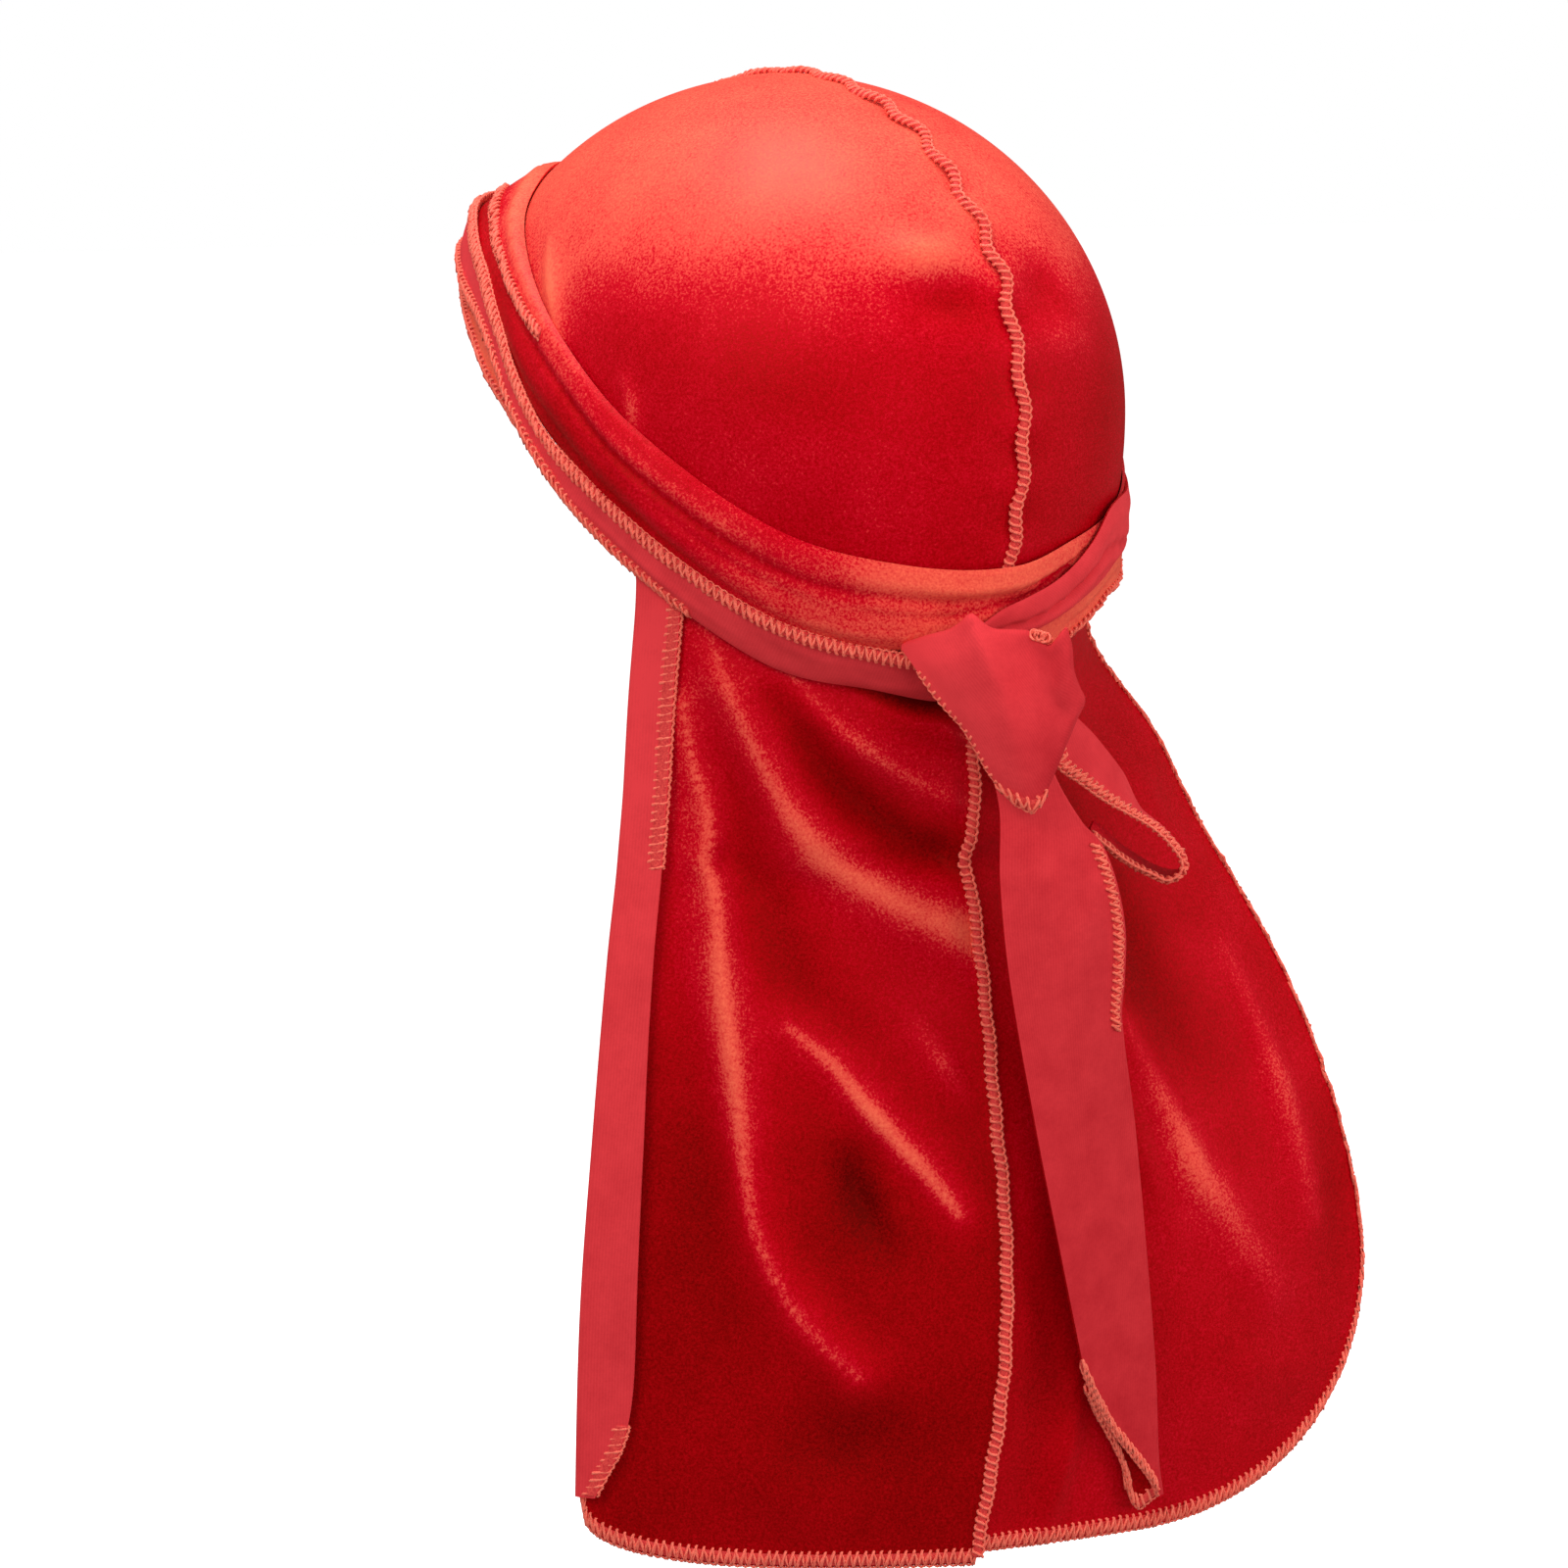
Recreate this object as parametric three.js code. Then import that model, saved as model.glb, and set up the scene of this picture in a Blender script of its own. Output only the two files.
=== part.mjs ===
// Long-tail bandana cap of stretch velvet, worn and tied. Two mirrored panels meet at an exposed
// centre seam, and two long ties are wound round the head and knotted low at the back.
// Millimetres, +Z up. The wearer faces -Y and their left is +X. The origin is the inside of the
// crown at its highest point. An angle round the head is 0 at the back, 90 at the wearer's left,
// -90 at their right and 180 at the forehead.
import * as THREE from "three";

const degree = Math.PI / 180;

// Cloth
const panelWall = 1.2;
const tieWall = 1.0;
const seamWidth = 3.7;
const seamHeight = 1.6;
const seamHeightUnderTies = 0.6;
const seamClearance = 0.4;
const seamLean = 0.14;
const seamUnderTies = { top: -117, bottom: -172, fade: 6, front: -24 };

// The head form, outside the crown cloth
const headHalfWidth = 83;
const headHalfDepth = 102;
const widestLevel = -88;
const crownHeight = panelWall - widestLevel;
const napeTaper = 0.00004;
const napeArc = 140;

// The tail
const leftTailAngle = 68;
const rightTailAngle = 66;
const tailHeldDrop = 9;
const tailFreeDrop = 50;
const tailFoldGrowth = 16;
const foldRadius = 1.1;
const foldSteps = 3;

// The loose ends hang from the knot and face between the back and the wearer's left
const endsFacing = 36 * degree;

// Pleats along a wound tie, as a share of its bulge
const pleatDepth = 0.35;

// A fold of the tail keeps this share of its height at its two ends
const foldEndShare = 0.45;

// Facets. The tail's first rows are this share of an even row.
const crownRows = 10;
const tailRows = 23;
const leftTailColumns = 12;
const crownColumns = 11;
const firstTailRow = 0.7;
const tieStep = 8;

const velvet = { color: 0xb80018, roughness: 0.75, metalness: 0 };
const wrongSide = { color: 0xd9383f, roughness: 0.9, metalness: 0 };
const overlock = { color: 0xe6554a, roughness: 0.8, metalness: 0 };

// Lower edge of the crown cloth, hidden under the ties, and the tail's root where it has a tail
const crownEdge = [
  { angle: 0, level: -150 },
  { angle: 20, level: -148 },
  { angle: 43, level: -141 },
  { angle: 60, level: -126 },
  { angle: 73, level: -112 },
  { angle: 85, level: -88 },
  { angle: 98, level: -64 },
  { angle: 115, level: -50 },
  { angle: 140, level: -42 },
  { angle: 180, level: -38 },
];

// The tail's centre seam and the outer edge of each half, at several levels
const seamLine = [
  { level: -150, x: 0, y: 85 },
  { level: -178, x: 0, y: 85 },
  { level: -202, x: 3, y: 82.5 },
  { level: -220, x: 1, y: 86 },
  { level: -257, x: 1, y: 92 },
  { level: -307, x: 1, y: 99 },
  { level: -346, x: 2, y: 97.5 },
  { level: -386, x: 6, y: 92.5 },
];
const leftEdge = [
  { level: -130, x: 70, y: 34.5 },
  { level: -170, x: 71.5, y: 35 },
  { level: -220, x: 75.5, y: 35 },
  { level: -270, x: 81.5, y: 34.5 },
  { level: -320, x: 86.5, y: 34 },
  { level: -386, x: 90.5, y: 34 },
];
const rightEdge = [
  { level: -150, x: -72, y: 42 },
  { level: -200, x: -95.5, y: 66.5 },
  { level: -250, x: -113, y: 87 },
  { level: -300, x: -122.5, y: 98.5 },
  { level: -386, x: -125, y: 103 },
];

// Width of the turned edge on the left half, which runs out at the rounded corner
const turnedEdge = [
  { level: -110, width: 12.5 },
  { level: -200, width: 12.5 },
  { level: -280, width: 14 },
  { level: -335, width: 15 },
  { level: -350, width: 11 },
  { level: -362, width: 5 },
  { level: -374, width: 2.5 },
];

// Folds of the tail: each runs from one point by a bend to another, given in mm across from the
// seam and as a level, with the height of its crest and how far the crest spreads
const leftFolds = [
  { from: [78, -150], bend: [64, -235], to: [67, -285], rise: 4, spread: 5 },
  { from: [67, -285], bend: [64, -312], to: [38, -334], rise: 3.5, spread: 5 },
  { from: [76, -140], bend: [58, -190], to: [2, -222], rise: 5, spread: 7 },
  { from: [58, -148], bend: [40, -172], to: [2, -188], rise: 4, spread: 5 },
  { from: [46, -150], bend: [28, -163], to: [2, -170], rise: 4, spread: 4 },
  { from: [50, -245], bend: [33, -262], to: [12, -292], rise: 3, spread: 6 },
  { from: [70, -164], bend: [50, -215], to: [34, -256], rise: -3, spread: 6 },
  { from: [40, -276], bend: [36, -288], to: [30, -304], rise: -2.5, spread: 6 },
  { from: [34, -156], bend: [20, -160], to: [6, -162], rise: -5, spread: 4 },
];
const rightFolds = [
  { from: [38, -240], bend: [58, -278], to: [84, -318], rise: 4, spread: 8 },
  { from: [88, -250], bend: [98, -278], to: [104, -300], rise: 3, spread: 6 },
  { from: [14, -300], bend: [12, -330], to: [10, -372], rise: -3, spread: 8 },
  { from: [22, -340], bend: [22, -358], to: [20, -378], rise: 2, spread: 3 },
  { from: [24, -175], bend: [40, -210], to: [60, -260], rise: -3, spread: 10 },
];

// Dents and puckers of the crown, by angle and level
const crownDents = [
  { angle: 14, level: -47, rise: 1.6, wide: 9, high: 6 },
  { angle: 12, level: -57, rise: -1.6, wide: 10, high: 6 },
  { angle: -12, level: -66, rise: -1.2, wide: 10, high: 8 },
];

// Wound ties, station by station round the head: upper and lower level, distance of the middle of
// the cloth from the crown at both, and how far its middle bulges
const leftFirstPass = [
  { angle: -176, top: -25, bottom: -42, topLift: 1.4, bottomLift: 1.4, belly: 0.2 },
  { angle: -130, top: -29, bottom: -43, topLift: 1.4, bottomLift: 1.4, belly: 0.2 },
  { angle: -90, top: -56, bottom: -70, topLift: 1.4, bottomLift: 1.4, belly: 0.2 },
  { angle: -60, top: -91, bottom: -104, topLift: 1.4, bottomLift: 1.4, belly: 0.2 },
  { angle: -34, top: -110, bottom: -122, topLift: 1.4, bottomLift: 1.4, belly: 0.2 },
  { angle: -16, top: -120, bottom: -131, topLift: 1.4, bottomLift: 1.4, belly: 0.2 },
  { angle: 0, top: -124, bottom: -138, topLift: 2.2, bottomLift: 2.2, belly: 0.2 },
  { angle: 21, top: -122, bottom: -144, topLift: 1.4, bottomLift: 1.4, belly: 2.2 },
  { angle: 43, top: -113, bottom: -137, topLift: 1.4, bottomLift: 1.4, belly: 2.2 },
  { angle: 67, top: -88, bottom: -112.5, topLift: 1.4, bottomLift: 1.4, belly: 2.2 },
  { angle: 83, top: -66, bottom: -92, topLift: 1.4, bottomLift: 1.4, belly: 2 },
  { angle: 90, top: -57, bottom: -80, topLift: 1.4, bottomLift: 1.4, belly: 1.6 },
  { angle: 98, top: -48, bottom: -65.5, topLift: 1.4, bottomLift: 1.4, belly: 1.2 },
  { angle: 130, top: -28, bottom: -43, topLift: 1.4, bottomLift: 1.4, belly: 0.4 },
  { angle: 176, top: -22, bottom: -40, topLift: 1.4, bottomLift: 1.4, belly: 0.2 },
];
const leftSecondPass = [
  { angle: 6, top: -147, bottom: -158, topLift: 2.8, bottomLift: 2.4, belly: 0 },
  { angle: 12, top: -145, bottom: -157, topLift: 3.4, bottomLift: 1.8, belly: 0.4 },
  { angle: 24, top: -142, bottom: -154, topLift: 3.5, bottomLift: 1.5, belly: 0.6 },
  { angle: 43, top: -135.5, bottom: -149, topLift: 3.5, bottomLift: 1.5, belly: 0.5 },
  { angle: 60, top: -120, bottom: -133, topLift: 3.5, bottomLift: 1.5, belly: 0.4 },
  { angle: 75, top: -101, bottom: -113, topLift: 3.5, bottomLift: 1.5, belly: 0.4 },
  { angle: 83, top: -91, bottom: -98, topLift: 3.3, bottomLift: 2.8, belly: 0 },
  { angle: 91, top: -76, bottom: -83, topLift: 3.2, bottomLift: 3.1, belly: 0 },
  { angle: 98, top: -63, bottom: -69, topLift: 3.5, bottomLift: 3.3, belly: 0 },
  { angle: 108, top: -52, bottom: -59, topLift: 3.5, bottomLift: 3.3, belly: 0 },
  { angle: 130, top: -41, bottom: -48, topLift: 3.1, bottomLift: 3.1, belly: 0 },
  { angle: 176, top: -37, bottom: -47, topLift: 4.6, bottomLift: 4.6, belly: 0 },
  { angle: 200, top: -37, bottom: -47, topLift: 4.6, bottomLift: 4.6, belly: 0 },
];
const rightFirstPass = [
  { angle: -276, top: -96, bottom: -101, topLift: 1.4, bottomLift: 1.4, belly: 0 },
  { angle: -270, top: -86, bottom: -92, topLift: 1.4, bottomLift: 1.4, belly: 0 },
  { angle: -262, top: -70, bottom: -82, topLift: 1.4, bottomLift: 1.4, belly: 0 },
  { angle: -243, top: -52, bottom: -63, topLift: 1.4, bottomLift: 1.4, belly: 0 },
  { angle: -220, top: -46, bottom: -56, topLift: 1.4, bottomLift: 1.4, belly: 0 },
  { angle: -180, top: -44, bottom: -56, topLift: 1.4, bottomLift: 1.4, belly: 0 },
  { angle: -130, top: -46, bottom: -58, topLift: 1.4, bottomLift: 1.4, belly: 0 },
  { angle: -106, top: -61, bottom: -78, topLift: 1.4, bottomLift: 1.4, belly: 0 },
  { angle: -90, top: -73, bottom: -94, topLift: 1.4, bottomLift: 1.4, belly: 0 },
  { angle: -60, top: -108, bottom: -130, topLift: 1.4, bottomLift: 1.4, belly: 0 },
  { angle: -43, top: -121, bottom: -144, topLift: 1.4, bottomLift: 1.4, belly: 0 },
  { angle: -24, top: -130, bottom: -149, topLift: 1.4, bottomLift: 1.4, belly: 0 },
  { angle: -8, top: -137, bottom: -151, topLift: 1.6, bottomLift: 1.6, belly: 0 },
];
const rightSecondPass = [
  { angle: -178, top: -30, bottom: -50, topLift: 3.2, bottomLift: 3.2, belly: 0 },
  { angle: -130, top: -35, bottom: -52, topLift: 3.2, bottomLift: 3.2, belly: 0 },
  { angle: -90, top: -62, bottom: -84, topLift: 3.2, bottomLift: 3.2, belly: 0.2 },
  { angle: -60, top: -94, bottom: -116, topLift: 3.2, bottomLift: 3.2, belly: 0.2 },
  { angle: -31, top: -109, bottom: -132, topLift: 3.2, bottomLift: 3.2, belly: 0.2 },
  { angle: -20, top: -121, bottom: -139, topLift: 3.3, bottomLift: 3.3, belly: 0.2 },
  { angle: -8, top: -129, bottom: -142, topLift: 3.6, bottomLift: 3.6, belly: 0.2 },
  { angle: -2, top: -133, bottom: -142.5, topLift: 4.2, bottomLift: 4.4, belly: 0.2 },
];

// The loose ends, row by row: both edges as across (towards the wearer's right) and out, with the
// level, and how far the cloth between them stands forward
const shortEndRows = [
  { level: -136, left: [45, 86], right: [52, 86], crown: 0.5 },
  { level: -142, left: [30.5, 89], right: [72.5, 87], crown: 6 },
  { level: -149, left: [33.5, 91], right: [75, 88], crown: 7 },
  { level: -155, left: [37, 92], right: [76.5, 88], crown: 6 },
  { level: -165, left: [44.5, 92], right: [72, 90], crown: 3.5 },
  { level: -176, left: [52, 92], right: [68, 91.5], crown: 1.5 },
  { level: -182.5, left: [60, 92], right: [65, 92], crown: 0 },
];

// The long end is folded lengthwise with its fold on the right, given by x and y of both edges
const longEndRows = [
  { level: -160, left: [12, 97.5], right: [-1, 99] },
  { level: -180, left: [13.5, 100], right: [-4, 103] },
  { level: -202, left: [12.5, 105], right: [-20, 112] },
  { level: -228, left: [9, 108], right: [-25.5, 111] },
  { level: -265, left: [-1, 110], right: [-33, 109.5] },
  { level: -304, left: [-10.5, 111], right: [-38, 110] },
  { level: -331, left: [-18, 111], right: [-40.5, 110] },
  { level: -352, left: [-32, 110], right: [-42, 110] },
  { level: -367, left: [-40.5, 109], right: [-43, 109] },
];

// The half bow: the route of its near edge, as across, out and level, and the way across the cloth
const loopRoute = [
  { across: 65.6, out: 78.2, level: -154 },
  { across: 73, out: 77, level: -163 },
  { across: 80, out: 74, level: -173 },
  { across: 91, out: 67, level: -184 },
  { across: 100, out: 61, level: -194 },
  { across: 103, out: 58, level: -201 },
  { across: 98, out: 59, level: -204 },
  { across: 89, out: 64, level: -200 },
  { across: 80, out: 70, level: -194 },
  { across: 74, out: 73, level: -188 },
];
const loopWidth = [-11, -11, 5];

const knotCentre = [0, 95, -152];
const knotHalf = [11, 6.4, 8];

// One column of a table, on a smooth curve through its rows. The rows may rise or fall.
function readTable(rows, key, column, at) {
  const slope = (i) => {
    const before = rows[Math.max(i - 1, 0)];
    const after = rows[Math.min(i + 1, rows.length - 1)];
    return (after[column] - before[column]) / (after[key] - before[key]);
  };
  const rising = rows[1][key] > rows[0][key];
  const passed = rows.filter((row) => (rising ? row[key] <= at : row[key] >= at)).length;
  if (passed === 0) return rows[0][column];
  if (passed === rows.length) return rows[rows.length - 1][column];
  const [start, end] = [rows[passed - 1], rows[passed]];
  const span = end[key] - start[key];
  const t = (at - start[key]) / span;
  const [startSlope, endSlope] = [slope(passed - 1) * span, slope(passed) * span];
  const turn = start[column] - end[column];
  const curve = 2 * turn + startSlope + endSlope;
  const lean = -3 * turn - 2 * startSlope - endSlope;
  return ((curve * t + lean) * t + startSlope) * t + start[column];
}

function smoothStep(share) {
  const t = THREE.MathUtils.clamp(share, 0, 1);
  return t * t * (3 - 2 * t);
}

// A point on the head form at an angle in degrees and a level, and the way out of it there
function headAt(angle, level) {
  const above = level - widestLevel;
  const upper = above > 0;
  const share = upper
    ? Math.sqrt(Math.max(0, 1 - (above / crownHeight) ** 2))
    : 1 - napeTaper * above ** 2;
  const x = headHalfWidth * share * Math.sin(angle * degree);
  const y = headHalfDepth * share * Math.cos(angle * degree);
  const rise = upper ? above / crownHeight ** 2 : 2 * share * napeTaper * above;
  const out = new THREE.Vector3(x / headHalfWidth ** 2, y / headHalfDepth ** 2, rise).normalize();
  return { place: new THREE.Vector3(x, y, level), out };
}

function onHead(angle, level, lift) {
  const { place, out } = headAt(angle, level);
  return place.addScaledVector(out, lift);
}

// Level of the crown's row: even steps over the dome, then down the nape
function crownLevel(angle, share) {
  const edge = readTable(crownEdge, "angle", "level", Math.abs(angle));
  const above = edge - widestLevel;
  const reach = above > 0 ? Math.acos(above / crownHeight) / (90 * degree) : 1 - above / napeArc;
  const along = share * reach;
  if (along < 1) return widestLevel + crownHeight * Math.cos(along * 90 * degree);
  return widestLevel - (along - 1) * napeArc;
}

function crownRise(angle, level) {
  let rise = 0;
  for (const dent of crownDents) {
    const across = (angle - dent.angle) * degree * headHalfWidth;
    rise += dent.rise * Math.exp(-((across / dent.wide) ** 2) - ((level - dent.level) / dent.high) ** 2);
  }
  return rise;
}

// Height of the folds at a point of the tail
function foldRise(folds, across, level) {
  let total = 0;
  for (const fold of folds) {
    let nearest = Infinity;
    let nearestAt = 0;
    const steps = 16;
    for (let step = 0; step <= steps; step += 1) {
      const t = step / steps;
      const at = (i) => (1 - t) ** 2 * fold.from[i] + 2 * t * (1 - t) * fold.bend[i] + t * t * fold.to[i];
      const distance = Math.hypot(at(0) - across, at(1) - level);
      if (distance < nearest) {
        nearest = distance;
        nearestAt = t;
      }
    }
    const fade = foldEndShare + (1 - foldEndShare) * Math.sin(Math.PI * nearestAt);
    total += fold.rise * fade * Math.exp(-((nearest / fold.spread) ** 2));
  }
  return total;
}

// The two halves of the tail. The right hem rises to the edge round a large corner.
const leftHem = { level: -385.5, edgeRise: 13, power: 4 };
const rightHem = { level: -382, edgeRise: 68, cornerStart: 0.37, power: 2.4 };
const leftHalf = {
  side: 1,
  tailAngle: leftTailAngle,
  edge: leftEdge,
  folds: leftFolds,
  bulge: 3,
  hem: (share) => leftHem.level + leftHem.edgeRise * share ** leftHem.power,
};
const rightHalf = {
  side: -1,
  tailAngle: rightTailAngle,
  edge: rightEdge,
  folds: rightFolds,
  bulge: 5,
  hem: (share) => {
    const { level, edgeRise, cornerStart, power } = rightHem;
    const corner = Math.max(0, (share - cornerStart) / (1 - cornerStart));
    return level + edgeRise * (1 - Math.max(0, 1 - corner ** power) ** (1 / power));
  },
};

// A point on the middle of the tail's cloth: share across from the seam, share down from the root
function tailAt(half, across, down) {
  const angle = half.side * half.tailAngle * across;
  const root = readTable(crownEdge, "angle", "level", Math.abs(angle));
  const level = root + (half.hem(across) - root) * down;
  const seam = new THREE.Vector3(
    readTable(seamLine, "level", "x", level),
    readTable(seamLine, "level", "y", level),
    0,
  );
  const edge = new THREE.Vector3(
    readTable(half.edge, "level", "x", level),
    readTable(half.edge, "level", "y", level),
    0,
  );
  const along = edge.clone().sub(seam);
  const width = along.length();
  along.normalize();
  const out = new THREE.Vector3(-along.y * half.side, along.x * half.side, 0);
  const release = root - tailHeldDrop;
  const free = smoothStep((release - level) / tailFreeDrop);
  const bulge = half.bulge * 4 * across * (1 - across);
  const grown = smoothStep((release - level) / tailFoldGrowth);
  const folds = foldRise(half.folds, across * width, level) * grown;
  const held = onHead(angle, Math.max(level, release), -panelWall / 2);
  const place = seam.lerp(edge, across).addScaledVector(out, bulge);
  place.lerp(held, 1 - free).addScaledVector(out, folds * smoothStep(across * 12));
  place.z = level;
  return { place, along, out };
}

// A sheet of cloth before it has a thickness. Points with one key are one point.
class Sheet {
  points = [];
  pointRows = [];
  quads = [];
  keys = new Map();

  point(key, row, place) {
    if (!this.keys.has(key)) {
      this.keys.set(key, this.points.length);
      this.points.push(place());
      this.pointRows.push(row);
    }
    return this.keys.get(key);
  }

  // Adds rows and columns of quads. Rows run down and columns run clockwise seen from above.
  patch(rows, columns, keyAt, placeAt, turned = false) {
    const corner = (row, column) => (
      this.point(keyAt(row, column), row, () => placeAt(row, column))
    );
    for (let row = rows[0]; row < rows[1]; row += 1) {
      for (let column = columns[0]; column < columns[1]; column += 1) {
        const quad = [
          corner(row, column),
          corner(row, column + 1),
          corner(row + 1, column + 1),
          corner(row + 1, column),
        ];
        this.quads.push(turned ? quad.reverse() : quad);
      }
    }
  }

  // Gives the sheet a wall, of one thickness or one for each row, and closes it round its edges
  solid(name, look, wall) {
    const count = this.points.length;
    const outs = this.points.map(() => new THREE.Vector3());
    const neighbours = new Set();
    for (const quad of this.quads) {
      const [a, b, c, d] = quad.map((index) => this.points[index]);
      const out = new THREE.Vector3().crossVectors(c.clone().sub(a), d.clone().sub(b));
      quad.forEach((index, i) => {
        outs[index].add(out);
        neighbours.add(`${index}>${quad[(i + 1) % 4]}`);
      });
    }
    const positions = new Float32Array(count * 6);
    this.points.forEach((place, index) => {
      const half = (typeof wall === "function" ? wall(this.pointRows[index]) : wall) / 2;
      outs[index].normalize();
      place.clone().addScaledVector(outs[index], half).toArray(positions, index * 3);
      place.clone().addScaledVector(outs[index], -half).toArray(positions, (count + index) * 3);
    });
    const triangles = [];
    const addTriangle = (...corners) => {
      if (new Set(corners).size === 3) triangles.push(...corners);
    };
    for (const quad of this.quads) {
      const [a, b, c, d] = quad;
      addTriangle(a, b, c);
      addTriangle(a, c, d);
      addTriangle(count + c, count + b, count + a);
      addTriangle(count + d, count + c, count + a);
      quad.forEach((from, i) => {
        const to = quad[(i + 1) % 4];
        if (from === to || neighbours.has(`${to}>${from}`)) return;
        addTriangle(to, from, count + from);
        addTriangle(to, count + from, count + to);
      });
    }
    const geometry = new THREE.BufferGeometry();
    geometry.setAttribute("position", new THREE.BufferAttribute(positions, 3));
    geometry.setIndex(triangles);
    geometry.computeVertexNormals();
    const mesh = new THREE.Mesh(geometry, new THREE.MeshStandardMaterial(look));
    mesh.name = name;
    return mesh;
  }
}

// Shares across a tail half. The right half has closer columns at its rounded corner.
function tailShares(half) {
  if (half.side > 0) return Array.from({ length: leftTailColumns + 1 }, (_, i) => i / leftTailColumns);
  const [straightColumns, cornerColumns, straight] = [8, 5, 0.6];
  const inner = Array.from({ length: straightColumns }, (_, i) => (straight * i) / straightColumns);
  const corner = Array.from({ length: cornerColumns + 1 }, (_, i) => (
    straight + (1 - straight) * Math.sin((i / cornerColumns) * 90 * degree)
  ));
  return [...inner, ...corner];
}

// Rows of the tail lie closer near the head, where its folds are small
function tailDown(row) {
  const share = row / tailRows;
  return share * (firstTailRow + (1 - firstTailRow) * share);
}

// The outer edge of the left half turns outward and back towards the seam
function turnedEdgeAt(half, column, down) {
  const { place, along, out } = tailAt(half, 1, down);
  const turn = Math.min(column / foldSteps, 1) * Math.PI;
  const width = readTable(turnedEdge, "level", "width", place.z);
  place.addScaledVector(out, foldRadius * (1 - Math.cos(turn)));
  place.addScaledVector(along, foldRadius * Math.sin(turn));
  const back = Math.max(0, column - foldSteps);
  return place.addScaledVector(along, (-width * back) / 2).addScaledVector(out, back * 0.4);
}

function buildPanel(name, half) {
  const shares = tailShares(half);
  const tailColumns = shares.length - 1;
  const angleAt = (column) => {
    if (column <= tailColumns) return shares[column] * half.tailAngle;
    return half.tailAngle + ((180 - half.tailAngle) * (column - tailColumns)) / crownColumns;
  };
  const sheet = new Sheet();
  const seamShift = (column, last) => (column === 0 || column === last ? half.side * seamClearance : 0);
  const lastColumn = tailColumns + crownColumns;
  sheet.patch(
    [0, crownRows],
    [0, lastColumn],
    (row, column) => (row === 0 ? "apex" : `crown ${row} ${column}`),
    (row, column) => {
      const angle = half.side * angleAt(column);
      const level = crownLevel(angle, row / crownRows);
      const place = onHead(angle, level, crownRise(angle, level) - panelWall / 2);
      place.x += row === 0 ? half.side * seamClearance : seamShift(column, lastColumn);
      return place;
    },
    half.side < 0,
  );
  sheet.patch(
    [0, tailRows],
    [0, tailColumns],
    (row, column) => (row === 0 ? `crown ${crownRows} ${column}` : `tail ${row} ${column}`),
    (row, column) => {
      const { place } = tailAt(half, shares[column], tailDown(row));
      place.x += seamShift(column, -1);
      return place;
    },
    half.side < 0,
  );
  if (half.side > 0) {
    sheet.patch(
      [1, tailRows],
      [0, foldSteps + 2],
      (row, column) => (column === 0 ? `tail ${row} ${tailColumns}` : `turned ${row} ${column}`),
      (row, column) => turnedEdgeAt(half, column, tailDown(row)),
    );
  }
  return sheet.solid(name, velvet, panelWall);
}

// The overlocked ridge stands on the meeting edges and leans to the wearer's right
function buildCentreSeam() {
  const sheet = new Sheet();
  const rows = [];
  const { top, bottom, fade, front } = seamUnderTies;
  const hidden = (level) => smoothStep((top - level) / fade) * smoothStep((level - bottom) / fade);
  const heightAt = (level) => THREE.MathUtils.lerp(seamHeight, seamHeightUnderTies, hidden(level));
  for (const [angle, order] of [[180, [crownRows, 1]], [0, [0, crownRows]]]) {
    const step = Math.sign(order[1] - order[0]);
    for (let row = order[0]; row !== order[1] + step; row += step) {
      const level = crownLevel(angle, row / crownRows);
      const height = angle === 180 && level < front ? seamHeightUnderTies : heightAt(level);
      const { place, out } = headAt(angle, level);
      place.addScaledVector(out, seamClearance + height / 2);
      rows.push({ place, across: new THREE.Vector3(-1, 0, 0), height });
    }
  }
  for (let row = 1; row <= tailRows; row += 1) {
    const left = tailAt(leftHalf, 0, tailDown(row));
    const right = tailAt(rightHalf, 0, tailDown(row));
    const out = left.out.clone().add(right.out).normalize();
    const height = heightAt(left.place.z);
    const place = left.place.clone().add(right.place).multiplyScalar(0.5);
    place.addScaledVector(out, panelWall / 2 + seamClearance + height / 2);
    rows.push({ place, across: new THREE.Vector3(-out.y, out.x, 0), height });
  }
  const columns = 2;
  const placeAt = (row, column) => {
    const lean = (column / columns - 0.5 + seamLean) * seamWidth;
    return rows[row].place.clone().addScaledVector(rows[row].across, lean);
  };
  sheet.patch([0, rows.length - 1], [0, columns], (row, column) => `${row} ${column}`, placeAt, true);
  return sheet.solid("centre_seam", overlock, (row) => rows[row].height);
}

// A tie wound round the head, from one station's angle to another's
function buildWoundTie(name, look, stations, columns, pleats) {
  const [first, last] = [stations[0].angle, stations[stations.length - 1].angle];
  const steps = Math.round((last - first) / tieStep);
  const sheet = new Sheet();
  sheet.patch(
    [0, columns],
    [0, steps],
    (row, column) => `${row} ${column}`,
    (row, column) => {
      const angle = THREE.MathUtils.lerp(first, last, column / steps);
      const share = row / columns;
      const read = (name) => readTable(stations, "angle", name, angle);
      const level = THREE.MathUtils.lerp(read("top"), read("bottom"), share);
      const flat = THREE.MathUtils.lerp(read("topLift"), read("bottomLift"), share);
      const pleat = 1 - pleatDepth * Math.cos(2 * Math.PI * pleats * share);
      const belly = read("belly") * Math.sin(Math.PI * share) * pleat;
      return onHead(angle, level, flat + belly);
    },
  );
  return sheet.solid(name, look, tieWall);
}

function looseEndPlace(across, out, level) {
  const x = -across * Math.cos(endsFacing) + out * Math.sin(endsFacing);
  const y = across * Math.sin(endsFacing) + out * Math.cos(endsFacing);
  return new THREE.Vector3(x, y, level);
}

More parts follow.
